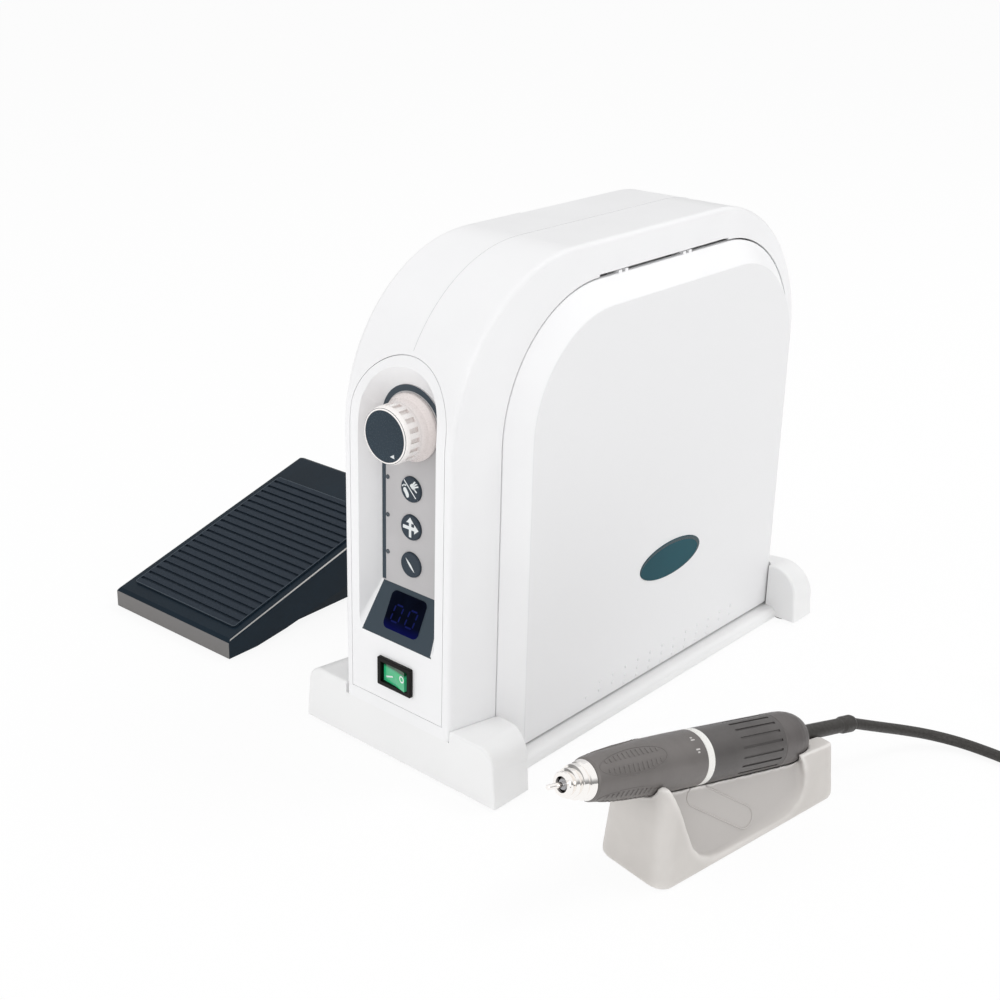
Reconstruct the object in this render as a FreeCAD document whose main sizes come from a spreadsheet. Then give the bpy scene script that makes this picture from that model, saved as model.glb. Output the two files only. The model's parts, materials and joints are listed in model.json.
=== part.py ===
import FreeCAD
import Part
import Sketcher
import math
import os

from FreeCAD import Placement, Rotation, Vector

# Table-top nail drill: a tower control unit with a knee plate, a foot pedal,
# a cradle, and a motor handpiece with its cord.
# Millimetres, +Z up. The origin is on the floor under the middle of the control
# unit. The control panel faces -Y and the knee plate faces +X.

doc = FreeCAD.newDocument("nail_drill")
sheet = doc.addObject("Spreadsheet::Sheet", "Sheet")

PARTS = []
ROW = [1]


class Size:
    """A number together with the sheet formula that gives it."""

    def __init__(self, value, formula):
        self.value = value
        self.formula = formula

    def join(self, other, sign, value):
        return Size(value, "(" + self.formula + " " + sign + " " + other.formula + ")")

    def __add__(self, other):
        other = size(other)
        return self.join(other, "+", self.value + other.value)

    def __sub__(self, other):
        other = size(other)
        return self.join(other, "-", self.value - other.value)

    def __mul__(self, other):
        other = size(other)
        return self.join(other, "*", self.value * other.value)

    def __truediv__(self, other):
        other = size(other)
        return self.join(other, "/", self.value / other.value)

    def __radd__(self, other):
        return size(other) + self

    def __rsub__(self, other):
        return size(other) - self

    def __rmul__(self, other):
        return size(other) * self

    def __neg__(self):
        return Size(-self.value, "(-1 * " + self.formula + ")")

    def __float__(self):
        return float(self.value)


def size(number):
    """Wrap a plain number so that it can stand in a formula."""
    if isinstance(number, Size):
        return number
    return Size(float(number), "(" + repr(float(number)) + ")")


def cell(alias, number, note=""):
    """Write one driving dimension into the sheet and return it as a Size."""
    row = ROW[0]
    ROW[0] = row + 1
    sheet.set("A%d" % row, note or alias.replace("_", " "))
    sheet.set("B%d" % row, repr(number))
    sheet.setAlias("B%d" % row, alias)
    return Size(float(number), "Sheet." + alias)


def bind(thing, path, amount):
    """Tie one property of an object to a sheet formula."""
    amount = size(amount)
    thing.setExpression(path, amount.formula)


def place(thing, x=0, y=0, z=0):
    """Put an object at a bound position."""
    thing.Placement = Placement(Vector(float(x), float(y), float(z)), thing.Placement.Rotation)
    bind(thing, ".Placement.Base.x", x)
    bind(thing, ".Placement.Base.y", y)
    bind(thing, ".Placement.Base.z", z)
    return thing


def keep(thing, name):
    """Name a finished sub-part; it is written to parts/NAME.step."""
    thing.Label = name
    PARTS.append(thing)
    return thing


# Drawing and solid helpers

TURNS = {
    "XY": Rotation(),
    "XZ": Rotation(Vector(1, 0, 0), 90),
    "YZ": Rotation(Vector(0.57735, 0.57735, 0.57735), 120),
}
NORMALS = {"XY": Vector(0, 0, 1), "XZ": Vector(0, 1, 0), "YZ": Vector(1, 0, 0)}
AXIS_LETTER = {"XY": "z", "XZ": "y", "YZ": "x"}


def flat(x, y):
    return Vector(float(x), float(y), 0)


def new_sketch(plane, at, owner):
    """An empty sketch on a plane, in a body or loose in the document."""
    if owner is None:
        drawing = doc.addObject("Sketcher::SketchObject", "outline")
        drawing.Placement = Placement(NORMALS[plane] * float(at), TURNS[plane])
        bind(drawing, ".Placement.Base." + AXIS_LETTER[plane], at)
        return drawing
    drawing = owner.newObject("Sketcher::SketchObject", owner.Name + "_outline")
    for feature in owner.Origin.OriginFeatures:
        if feature.Role == plane + "_Plane":
            drawing.AttachmentSupport = [(feature, "")]
    drawing.MapMode = "FlatFace"
    shift = -size(at) if plane == "XZ" else size(at)
    bind(drawing, ".AttachmentOffset.Base.z", shift)
    return drawing


def fix_point(drawing, geometry, side, x, y):
    """Hold one end of a line or arc at bound coordinates."""
    for kind, amount in (("DistanceX", x), ("DistanceY", y)):
        rule = Sketcher.Constraint(kind, -1, 1, geometry, side, float(amount))
        index = drawing.addConstraint(rule)
        drawing.setExpression("Constraints[%d]" % index, size(amount).formula)


def trace(drawing, points):
    """Close a loop. A point is (x, y), or (x, y, bend) where an arc follows it."""
    ends = []
    count = len(points)
    for index, point in enumerate(points):
        after = points[(index + 1) % count]
        here = flat(point[0], point[1])
        there = flat(after[0], after[1])
        if len(point) == 2:
            number = drawing.addGeometry(Part.LineSegment(here, there), False)
            ends.append((number, 1, 2))
            continue
        radius, centre_x, centre_y, turn = point[2]
        centre = flat(centre_x, centre_y)
        start = math.atan2(here.y - centre.y, here.x - centre.x)
        stop = math.atan2(there.y - centre.y, there.x - centre.x)
        if turn < 0:
            start, stop = stop, start
        if stop <= start:
            stop = stop + 2 * math.pi
        full = Part.Circle(centre, Vector(0, 0, 1), float(radius))
        number = drawing.addGeometry(Part.ArcOfCircle(full, start, stop), False)
        ends.append((number, 1, 2) if turn > 0 else (number, 2, 1))
    for index, point in enumerate(points):
        number, first, last = ends[index]
        fix_point(drawing, number, first, point[0], point[1])
        following = ends[(index + 1) % count]
        drawing.addConstraint(
            Sketcher.Constraint("Coincident", number, last, following[0], following[1])
        )
        if len(point) == 3:
            hold_bend(drawing, number, point, points[(index + 1) % count])
    return drawing


def hold_bend(drawing, number, point, after):
    """Hold an arc by its radius, or by its centre where it is a half circle."""
    radius, centre_x, centre_y, turn = point[2]
    chord = flat(after[0], after[1]) - flat(point[0], point[1])
    if abs(chord.Length - 2 * float(radius)) > 0.001:
        rule = Sketcher.Constraint("Radius", number, float(radius))
        amount = radius
    elif abs(chord.x) > abs(chord.y):
        rule = Sketcher.Constraint("DistanceY", -1, 1, number, 3, float(centre_y))
        amount = centre_y
    else:
        rule = Sketcher.Constraint("DistanceX", -1, 1, number, 3, float(centre_x))
        amount = centre_x
    held = drawing.addConstraint(rule)
    drawing.setExpression("Constraints[%d]" % held, size(amount).formula)


def circle(drawing, x, y, radius):
    """Add one bound circle to a sketch."""
    shape = Part.Circle(flat(x, y), Vector(0, 0, 1), float(radius))
    number = drawing.addGeometry(shape, False)
    fix_point(drawing, number, 3, x, y)
    held = drawing.addConstraint(Sketcher.Constraint("Radius", number, float(radius)))
    drawing.setExpression("Constraints[%d]" % held, size(radius).formula)
    return drawing


def outline(plane, at, points, owner=None):
    """A sketch with one closed loop."""
    return trace(new_sketch(plane, at, owner), points)


def rectangle(left, low, right, high):
    return [(left, low), (right, low), (right, high), (left, high)]


def prism(plane, points, low, high):
    """A closed outline drawn straight from low to high along the plane's normal."""
    drawing = outline(plane, low, points)
    solid = doc.addObject("Part::Extrusion", "prism")
    solid.Base = drawing
    solid.DirMode = "Custom"
    solid.Dir = NORMALS[plane]
    bind(solid, "LengthFwd", size(high) - low)
    solid.Solid = True
    return solid


def disc(plane, x, y, radius, low, high):
    """A round bar along the plane's normal."""
    drawing = circle(new_sketch(plane, low, None), x, y, radius)
    solid = doc.addObject("Part::Extrusion", "disc")
    solid.Base = drawing
    solid.DirMode = "Custom"
    solid.Dir = NORMALS[plane]
    bind(solid, "LengthFwd", size(high) - low)
    solid.Solid = True
    return solid


def box(left, front, low, right, rear, high):
    """A block between two corners."""
    solid = doc.addObject("Part::Box", "block")
    bind(solid, "Length", size(right) - left)
    bind(solid, "Width", size(rear) - front)
    bind(solid, "Height", size(high) - low)
    return place(solid, left, front, low)


def fuse(*solids):
    if len(solids) == 1:
        return group(*solids)
    whole = doc.addObject("Part::MultiFuse", "union")
    whole.Shapes = list(solids)
    whole.Refine = True
    return whole


def common(*solids):
    whole = doc.addObject("Part::MultiCommon", "overlap")
    whole.Shapes = list(solids)
    return whole


def cut(solid, *tools):
    """Take one or more tools out of a solid."""
    whole = doc.addObject("Part::Cut", "cut")
    whole.Base = solid
    whole.Tool = tools[0] if len(tools) == 1 else fuse(*tools)
    return whole


def group(*solids):
    """Separate solids that share one node."""
    whole = doc.addObject("Part::Compound", "group")
    whole.Links = list(solids)
    return whole


def round_edges(solid, radius, wanted):
    """Fillet the edges of a solid that a test picks by their middle point and box."""
    doc.recompute()
    smooth = doc.addObject("Part::Fillet", "rounded")
    smooth.Base = solid
    picked = []
    for index, edge in enumerate(solid.Shape.Edges):
        middle = edge.valueAt((edge.FirstParameter + edge.LastParameter) / 2)
        if wanted(middle, edge.BoundBox):
            picked.append((index + 1, float(radius), float(radius)))
    smooth.Edges = picked
    return smooth


def plain(name, shape, where=None):
    """A sub-part whose shape comes from code; its sizes are read from the sheet."""
    thing = doc.addObject("Part::Feature", name)
    thing.Shape = shape
    if where is not None:
        thing.Placement = where
    return keep(thing, name)


def loft(first, second):
    """A straight-walled solid between two closed wires."""
    return Part.makeLoft([first, second], True, True)


# Driving dimensions of the control unit

body_width = cell("body_width", 68)
body_depth = cell("body_depth", 280)
body_height = cell("body_height", 245)
stand_top = cell("stand_top", 24.4, "height of the casing's lower edge")
corner_radius = cell("corner_radius", 81.6, "big round of the casing, front and rear")
wall = cell("wall", 2.5, "casing wall")
edge_round = cell("edge_round", 2.6, "soft edge along the casing sides")
seam_gap = cell("seam_gap", 0.3, "gap between fixed covers")
step_depth = cell("step_depth", 0.8, "sunk field on the left top")

half_width = body_width / 2
front_y = -body_depth / 2
rear_y = body_depth / 2
step_start = front_y + cell("step_start", 120, "front end of the sunk field, from the casing's front")
step_end = rear_y - cell("step_end", 44, "rear end of the sunk field, from the casing's rear")


def level(alias, share, note=""):
    """A height on the casing, as a share of the casing above its lower edge."""
    return stand_top + (body_height - stand_top) * cell(alias, share, note)


knob_z = level("knob_level", 0.655938, "middle of the speed knob")
fascia_half = cell("fascia_half", 29.3, "half width of the arched front panel")
fascia_low = stand_top + cell("fascia_low", 6.6, "front panel's lower edge above the casing's")
fascia_arch = knob_z + cell("fascia_arch", 3.9, "arch centre above the knob")
fascia_back = cell("fascia_back", 13.6, "depth of the front panel block")
mouth_half = cell("mouth_half", 24.5, "half width of the recess at the face")
mouth_low = level("mouth_level", 0.177244, "lower edge of the recess")
mouth_arch = knob_z + cell("mouth_arch", 4.9, "start of the recess's arch above the knob")
mouth_rise = cell("mouth_rise", 41, "arch height of the recess at the face plane")
floor_half = cell("floor_half", 19.5, "half width of the recess floor")
floor_low = level("floor_level", 0.284678, "lower edge of the recess floor")
floor_arch = knob_z + cell("floor_arch", 0.7, "arch centre of the recess floor above the knob")
floor_depth = cell("floor_depth", 11.1, "depth of the recess floor behind the face")
overlay_thick = cell("overlay_thick", 0.6)
floor_y = front_y + floor_depth
overlay_y = floor_y - overlay_thick
panel_back_y = front_y + fascia_back

button_radius = cell("button_radius", 6.2)
button_gap = cell("button_gap", 0.15)
button_pitch = cell("button_pitch", 18.9)
button_top_z = level("button_level", 0.518586, "middle of the top key")
button_proud = cell("button_proud", 1.1)
stem_radius = cell("stem_radius", 2.0)
slide_fit = cell("slide_fit", 0.08, "clearance round sliding stems")
lamp_x = cell("lamp_x", -15.4)
lamp_raise = cell("lamp_raise", 2.0, "lamp above its button's centre")
lamp_radius = cell("lamp_radius", 1.1)
board_y = front_y + cell("board_depth", 20, "control board behind the face")
board_thick = cell("board_thick", 1.6)

switch_z = level("switch_level", 0.100635, "middle of the mains switch")
bezel_width = cell("bezel_width", 21.8)
bezel_height = cell("bezel_height", 14.8)
bezel_thick = cell("bezel_thick", 1.8)
switch_width = cell("switch_width", 19.0)
switch_height = cell("switch_height", 12.6)
rocker_width = cell("rocker_width", 15.4)
rocker_height = cell("rocker_height", 10.2)
rocker_tilt = cell("rocker_tilt", 8.0, "tilt of the rocker either way")

plate_front = front_y + cell("plate_front", 33.8, "knee plate's front edge, from the casing's")
plate_rear = rear_y - cell("plate_rear", 7, "knee plate's rear edge, from the casing's")
plate_top = body_height - cell("plate_top", 18, "knee plate's top edge under the casing's")
plate_low = cell("plate_low", 7.9)
plate_corner = cell("plate_corner", 66)
plate_proud = cell("plate_proud", 9, "knee plate face beyond the casing side")
plate_bevel = cell("plate_bevel", 11)
plate_skin = cell("plate_skin", 2.5)
plate_lip = cell("plate_lip", 2.5, "lip inside the casing side")
plate_gap = cell("plate_gap", 0.9)
top_gap = cell("top_gap", 2.0, "gap over the knee plate")
pocket_depth = cell("pocket_depth", 10.5)
pin_x = cell("hinge_in", 5.6, "hinge pin inside the casing side")
pin_z = plate_top + cell("hinge_z", 5.2, "hinge pin above the knee plate's top edge")
pin_radius = cell("pin_radius", 1.5)
pin_fit = cell("pin_fit", 0.05)
ear_width = cell("ear_width", 2.2)
lug_width = cell("lug_width", 2.4)
ear_gap = cell("ear_gap", 0.15)
hinge_front = cell("hinge_front", -21.5)
hinge_rear = cell("hinge_rear", 31.0)
badge_y = cell("badge_y", 20.2)
badge_z = cell("badge_z", 69.0)
badge_long = cell("badge_long", 26.5, "half length of the oval plate")
badge_short = cell("badge_short", 9.7)
badge_thick = cell("badge_thick", 0.8)

foot_half = cell("foot_half", 63)
foot_lean = cell("foot_lean", 0.092, "lean of the foot's ends")
foot_edge = cell("foot_edge", 1.2, "soft edge over the faces of a foot")
foot_top = stand_top + cell("foot_top", 5.8, "front foot's top above the casing's lower edge")
foot_rear_top = stand_top + cell("foot_rear_top", 3.6, "the same at its inner side")
foot_depth = cell("foot_depth", 34.5, "foot along the casing side")
foot_end_depth = cell("foot_end_depth", 24)
rear_foot_top = stand_top + cell("rear_foot_top", 7.0, "rear foot's top above the casing's lower edge")
rear_foot_end = stand_top + cell("rear_foot_end", 5.1, "the same at the rear")
rear_foot_depth = cell("rear_foot_depth", 19)
rail_half = cell("rail_half", 51)
rail_top = cell("rail_top", 6.2)
rail_round = cell("rail_round", 3.8)
floor_clear = cell("floor_clear", 1.0, "gap under the stand, filled by the rubber pads")


def casing_profile(inset, low):
    """Side view of the casing, shrunk by an inset, with its rounded shoulders."""
    radius = corner_radius - inset
    front_c = front_y + corner_radius
    rear_c = rear_y - corner_radius
    crest = body_height - inset
    spring = body_height - corner_radius
    return [
        (front_y + inset, low),
        (rear_y - inset, low),
        (rear_y - inset, spring, (radius, rear_c, spring, 1)),
        (rear_c, crest),
        (front_c, crest, (radius, front_c, spring, 1)),
        (front_y + inset, spring),
    ]


def arch(half, low, spring):
    """Front view of a round-topped panel."""
    return [
        (-half, low),
        (half, low),
        (half, spring, (half, 0, spring, 1)),
        (-half, spring),
    ]


def plate_profile(inset, low, gap=0):
    """Side view of the knee plate; inset shrinks it and gap widens it."""
    grow = size(gap) - inset
    radius = plate_corner + grow
    front = plate_front - grow
    rear = plate_rear + grow
    crest = plate_top + grow
    front_c = plate_front + plate_corner
    rear_c = plate_rear - plate_corner
    spring = plate_top - plate_corner
    return [
        (front, low),
        (rear, low),
        (rear, spring, (radius, rear_c, spring, 1)),
        (rear_c, crest),
        (front_c, crest, (radius, front_c, spring, 1)),
        (front, spring),
    ]


# Casing halves

boss_radius = cell("boss_radius", 3.2)
screw_radius = cell("screw_radius", 1.4)
screw_head = cell("screw_head", 2.6)
head_depth = cell("head_depth", 2.2)
rear_half = cell("rear_half", 19, "half width of the rear opening")
rear_low = stand_top + cell("rear_low", 15.6, "rear opening's lower edge above the casing's")
rear_high = level("rear_level", 0.569356, "rear opening's upper edge")
spring_room = cell("spring_room", 6.0, "room for a torsion spring beside its ears")
pocket_back = half_width - pocket_depth
lug_half = lug_width / 2
BOSSES = [
    (front_y + 52, body_height - 19, False),
    (size(0), body_height - 7.4, False),
    (rear_y - 28, body_height - 28, False),
    (rear_y - 36, stand_top + 35.6, True),
    (front_y + 40, stand_top + 25.6, True),
]
HINGES = [hinge_front, hinge_rear]


def casing_half(name, side):
    """One moulded half of the casing: padded, softened and hollowed."""
    body = doc.addObject("PartDesign::Body", name)
    pad = body.newObject("PartDesign::Pad", name + "_pad")
    pad.Profile = outline("YZ", 0, casing_profile(size(0), stand_top), body)
    pad.Reversed = side < 0
    bind(pad, "Length", half_width)
    doc.recompute()
    picked = []
    for index, edge in enumerate(pad.Shape.Edges):
        limits = edge.BoundBox
        on_side = abs(limits.XMin - side * float(half_width)) < 0.01 and limits.XLength < 0.01
        if on_side and limits.ZMax > float(stand_top) + 1:
            picked.append("Edge%d" % (index + 1))
    soft = body.newObject("PartDesign::Fillet", name + "_soft")
    soft.Base = (pad, picked)
    bind(soft, "Radius", edge_round)
    hollow = body.newObject("PartDesign::Pocket", name + "_hollow")
    hollow.Profile = outline("YZ", 0, casing_profile(wall, stand_top - 1), body)
    hollow.Reversed = side > 0
    bind(hollow, "Length", half_width - wall)
    doc.recompute()
    return body


def front_opening():
    """The arched opening that the front panel fills."""
    grown = arch(fascia_half + seam_gap, fascia_low - seam_gap, fascia_arch)
    return prism("XZ", grown, front_y - 5, panel_back_y)


def rear_opening():
    frame = rectangle(-rear_half, rear_low, rear_half, rear_high)
    return prism("XZ", frame, rear_y - wall - 1, rear_y + 1)


def screw_seats(side):
    """Bosses and holes for the casing screws; two end at the knee plate's pocket."""
    bosses = []
    holes = []
    for y, z, short in BOSSES:
        if side < 0:
            bosses.append(disc("YZ", y, z, boss_radius, -half_width + wall / 2, 0))
            holes.append(disc("YZ", y, z, screw_radius + 0.2, -half_width - 1, 1))
            seat = -half_width + head_depth + 0.6
            holes.append(disc("YZ", y, z, screw_head + 0.3, -half_width - 1, seat))
            continue
        reach = pocket_back - wall / 2 if short else half_width - wall / 2
        bosses.append(disc("YZ", y, z, boss_radius, 0, reach))
        holes.append(disc("YZ", y, z, screw_radius, -1, reach - wall))
    return bosses, holes


def left_shell():
    bosses, holes = screw_seats(-1)
    solid = fuse(casing_half("left_half", -1), *bosses)
    sunk = box(-half_width - 1, step_start, body_height - step_depth, 0, step_end, body_height + 1)
    keep(cut(solid, front_opening(), rear_opening(), sunk, *holes), "left_shell")


def right_shell():
    """The right half also carries the knee plate's pocket and hinge lugs."""
    bosses, holes = screw_seats(1)
    rim = plate_profile(0, stand_top, top_gap + wall)
    pocket_wall = prism("YZ", rim, pocket_back - wall, half_width - wall / 2)
    room = prism("YZ", plate_profile(0, stand_top - 2, plate_gap), pocket_back, half_width + 1)
    slit = box(pocket_back, plate_front + plate_corner, plate_top - 1, half_width + 1,
               plate_rear - plate_corner, plate_top + top_gap)
    windows = []
    lugs = []
    for y in HINGES:
        side = lug_half + ear_gap + ear_width + 0.8
        windows.append(box(pocket_back, y - side, plate_top - 3, half_width - wall,
                           y + side + spring_room, plate_top + top_gap + wall + 1))
        lugs.append(box(half_width - pin_x - 2.9, y - lug_half, plate_top + top_gap + 0.4,
                        half_width - wall / 2, y + lug_half, pin_z + 3))
        holes.append(disc("XZ", half_width - pin_x, pin_z, pin_radius, y - side, y + side))
    solid = cut(fuse(casing_half("right_half", 1), pocket_wall, *bosses), room, slit, *windows)
    solid = fuse(solid, *lugs)
    keep(cut(solid, front_opening(), rear_opening(), *holes), "right_shell")


def casing_screws():
    """Five screws from the left half into the right half."""
    screws = []
    seat = -half_width + head_depth + 0.6
    for y, z, short in BOSSES:
        reach = pocket_back - wall / 2 if short else half_width - wall / 2
        head = disc("YZ", y, z, screw_head, seat - head_depth, seat)
        shank = disc("YZ", y, z, screw_radius, seat, reach - wall - 0.5)
        screws.append(fuse(head, shank))
    keep(group(*screws), "casing_screws")


# Knee plate and its hinge


def wire(plane, at, points):
    """A closed wire through a list of points and bends, as for a sketch."""
    middle_of = {
        "XY": lambda x, y: Vector(x, y, float(at)),
        "XZ": lambda x, y: Vector(x, float(at), y),
        "YZ": lambda x, y: Vector(float(at), x, y),
    }
    lift = middle_of[plane]
    edges = []
    for index, point in enumerate(points):
        after = points[(index + 1) % len(points)]
        start = lift(float(point[0]), float(point[1]))
        stop = lift(float(after[0]), float(after[1]))
        if len(point) == 2:
            edges.append(Part.LineSegment(start, stop).toShape())
            continue
        radius, centre_x, centre_y, turn = [float(number) for number in point[2]]
        first = math.atan2(float(point[1]) - centre_y, float(point[0]) - centre_x)
        last = math.atan2(float(after[1]) - centre_y, float(after[0]) - centre_x)
        if turn > 0 and last <= first:
            last = last + 2 * math.pi
        if turn < 0 and last >= first:
            last = last - 2 * math.pi
        angle = (first + last) / 2
        middle = lift(centre_x + radius * math.cos(angle), centre_y + radius * math.sin(angle))
        edges.append(Part.Arc(start, middle, stop).toShape())
    return Part.Wire(edges)


def plate_block(inset, skin, back_x, face_x):
    """The bevelled block of the knee plate, or with a skin its hollow."""
    low = plate_low + skin
    rim = wire("YZ", half_width, plate_profile(size(skin), low))
    face = wire("YZ", face_x, plate_profile(plate_bevel + inset, low))
    back = Part.Face(wire("YZ", back_x, plate_profile(size(skin), low)))
    lip = back.extrude(Vector(float(half_width - back_x), 0, 0))
    return loft(rim, face).fuse(lip).removeSplitter()


def oval(low_x, long_half, short_half, thick):
    """Oval disc on the knee plate's face."""
    centre = Vector(float(low_x), float(badge_y), float(badge_z))
    tip = centre + Vector(0, float(long_half), 0)
    crest = centre + Vector(0, 0, float(short_half))
    rim = Part.Wire([Part.Ellipse(tip, crest, centre).toShape()])
    return Part.Face(rim).extrude(Vector(float(thick), 0, 0))


def ear_profile():
    """Hooked hinge ear of the knee plate, seen along the pin."""
    x = half_width
    return [
        (x - plate_lip + 0.5, plate_top - 9),
        (x - plate_lip + 0.5, plate_top - 1.2),
        (x - 0.2, plate_top - 1.2),
        (x - 0.2, plate_top + top_gap - 0.6),
        (x - wall - 0.6, plate_top + top_gap - 0.6),
        (x - wall - 0.6, pin_z + 2.6),
        (x - pin_x - 2.6, pin_z + 2.6),
        (x - pin_x - 2.6, pin_z - 5),
        (x - plate_lip - 1.5, plate_top - 9),
    ]


def knee_plate():
    """The plate that the knee presses: bevelled, hollow behind, hung from two pins."""
    face_x = half_width + plate_proud
    back_x = half_width - plate_lip
    solid = plate_block(0, 0, back_x, face_x)
    solid = solid.cut(plate_block(plate_skin * 0.6, plate_skin, back_x - 1, face_x - plate_skin))
    near = float(lug_half + ear_gap)
    thick = float(ear_width)
    for y in HINGES:
        for start in (float(y) + near, float(y) - near - thick):
            ear = Part.Face(wire("XZ", start, ear_profile()))
            solid = solid.fuse(ear.extrude(Vector(0, thick, 0)))
    start = Vector(float(half_width - pin_x), -60, float(pin_z))
    bore = Part.makeCylinder(float(pin_radius + pin_fit), 120, start, Vector(0, 1, 0))
    seat = oval(face_x - badge_thick, badge_long + 0.1, badge_short + 0.1, badge_thick + 1)
    plain("side_plate", solid.cut(bore).cut(seat).removeSplitter())
    plain("plate_badge", oval(face_x - badge_thick, badge_long, badge_short, badge_thick + 0.25))


def hinge_pins():
    """Two steel pins, each through a pair of ears and the lug between them."""
    pins = []
    reach = lug_half + ear_gap + ear_width + 0.5
    for y in HINGES:
        pins.append(disc("XZ", half_width - pin_x, pin_z, pin_radius, y - reach,
                         y + reach + spring_room - 1))
    keep(group(*pins), "plate_hinge_pins")


def torsion_springs():
    """A small coil round each hinge pin that pushes the knee plate back out."""
    springs = []
    mean = float(pin_radius) + 0.65
    for y in HINGES:
        start = float(y + lug_half + ear_gap + ear_width) + 0.6
        centre = Vector(float(half_width - pin_x), start, float(pin_z))
        nodes = []
        for half in range(8):
            side = 1 if half % 2 == 0 else -1
            nodes.append((centre + Vector(side * mean, 0.5 * half, 0), Vector(0, 0, side)))
        first = nodes[0][0]
        nodes.insert(0, (first + Vector(0, 0, -9), Vector(0, 0, 1)))
        last = nodes[-1][0]
        nodes.append((last + Vector(0, 0, -6), Vector(0, 0, -1)))
        springs.append(tube(nodes, 0.35))
    plain("plate_springs", Part.Compound(springs))


# Stand


def foot_wire(at, crest, shoulder, valley):
    """Front view of a foot at one depth: leaning ends, round shoulders and the casing's seat."""
    at, crest, shoulder, lean = float(at), float(crest), float(shoulder), float(foot_lean)
    low, half, seat = float(floor_clear), float(foot_half), float(half_width + seam_gap)
    tilt = math.atan(lean)
    corner_z = crest - shoulder - shoulder * math.sin(tilt)
    corner_x = half - lean * (corner_z - low)
    middle_x = corner_x - shoulder * math.cos(tilt)
    turn = math.radians(45) - tilt / 2
    right = [
        Vector(half, at, low), Vector(corner_x, at, corner_z),
        Vector(middle_x + shoulder * math.cos(turn), at, crest - shoulder + shoulder * math.sin(turn)),
        Vector(middle_x, at, crest), Vector(seat, at, float(valley)), Vector(seat, at, float(stand_top)),
    ]
    left = [Vector(-corner.x, corner.y, corner.z) for corner in right]
    lines = [
        (right[0], right[1]), (right[3], right[4]), (right[4], right[5]), (right[5], left[5]),
        (left[5], left[4]), (left[4], left[3]), (left[1], left[0]), (left[0], right[0]),
    ]
    edges = [Part.LineSegment(first, last).toShape() for first, last in lines]
    edges.insert(1, Part.Arc(right[1], right[2], right[3]).toShape())
    edges.insert(7, Part.Arc(left[3], left[2], left[1]).toShape())
    return Part.Wire(edges)


def soften(foot, at):
    """Round the edge over one face of a foot, from the floor up to the casing."""
    return round_edges(foot, foot_edge, lambda middle, limits: abs(middle.y - float(at)) < 0.01
                       and abs(middle.x) > float(half_width) + 1 and middle.z > float(floor_clear) + 1)


def front_foot():
    """Cross foot under the front: it narrows and sinks towards the knee plate."""
    block = doc.addObject("Part::Feature", "front_foot_block")
    inner_y = front_y + foot_depth
    block.Shape = loft(foot_wire(front_y, foot_top, 9, foot_top),
                       foot_wire(inner_y, foot_rear_top, 13, stand_top + 0.1))
    tip_y = front_y + foot_end_depth
    plan = prism("XY", [
        (-foot_half - 1, front_y - 1), (foot_half + 1, front_y - 1), (foot_half + 1, tip_y),
        (foot_half - 0.5, tip_y), (half_width, inner_y), (-half_width, inner_y), (0.5 - foot_half, tip_y),
        (-foot_half - 1, tip_y),
    ], 0, foot_top + 1)
    return soften(common(block, plan), front_y)


def rear_foot():
    """Cross foot under the rear, with flat faces front and rear."""
    block = doc.addObject("Part::Feature", "rear_foot_block")
    block.Shape = loft(foot_wire(rear_y - rear_foot_depth, rear_foot_top, 15, rear_foot_top - 1),
                       foot_wire(rear_y, rear_foot_end, 18, rear_foot_end - 1))
    return soften(soften(block, rear_y), rear_y - rear_foot_depth)


pad_in = cell("pad_in", 11, "rubber pad's middle from the foot's side")
pad_end = cell("pad_end", 12, "rubber pad's middle from the foot's end")
PADS = [(pad_in - foot_half, front_y + pad_end), (foot_half - pad_in, front_y + pad_end),
        (pad_in - foot_half, rear_y - pad_end), (foot_half - pad_in, rear_y - pad_end)]
pad_radius = cell("pad_radius", 6, "rubber pad under the stand")
pad_recess = cell("pad_recess", 1.2)
tray_right = cell("tray_right", 21.5, "right side of the stand's inner tray")
ledge_front = front_y + cell("ledge_front", 32, "front end of the ledge, from the casing's front")
ledge_rear = rear_y - cell("ledge_rear", 14, "rear end of the ledge, from the casing's rear")
power_z = cell("power_z", 12, "underside of the power board")
board_front = front_y + cell("power_front", 54, "front edge of the power board, from the casing's")
board_rear = rear_y - cell("power_rear", 102, "rear edge of the power board, from the casing's")
board_left = cell("power_left", -30)
board_right = cell("power_right", 18)
post_in = cell("post_in", 6, "board post from the power board's end")
BOARD_POSTS = [(board_left + 4, board_front + post_in), (board_right - 4, board_front + post_in),
               (board_left + 4, board_rear - post_in - 2), (board_right - 4, board_rear - post_in - 2)]
core_left = cell("core_left", -22, "left side of the transformer's core")
core_right = cell("core_right", 12)
core_rear = rear_y - cell("core_rear", 40, "rear of the core, from the casing's")
core_front = core_rear - cell("core_long", 40)
core_low = power_z - 4


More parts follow.
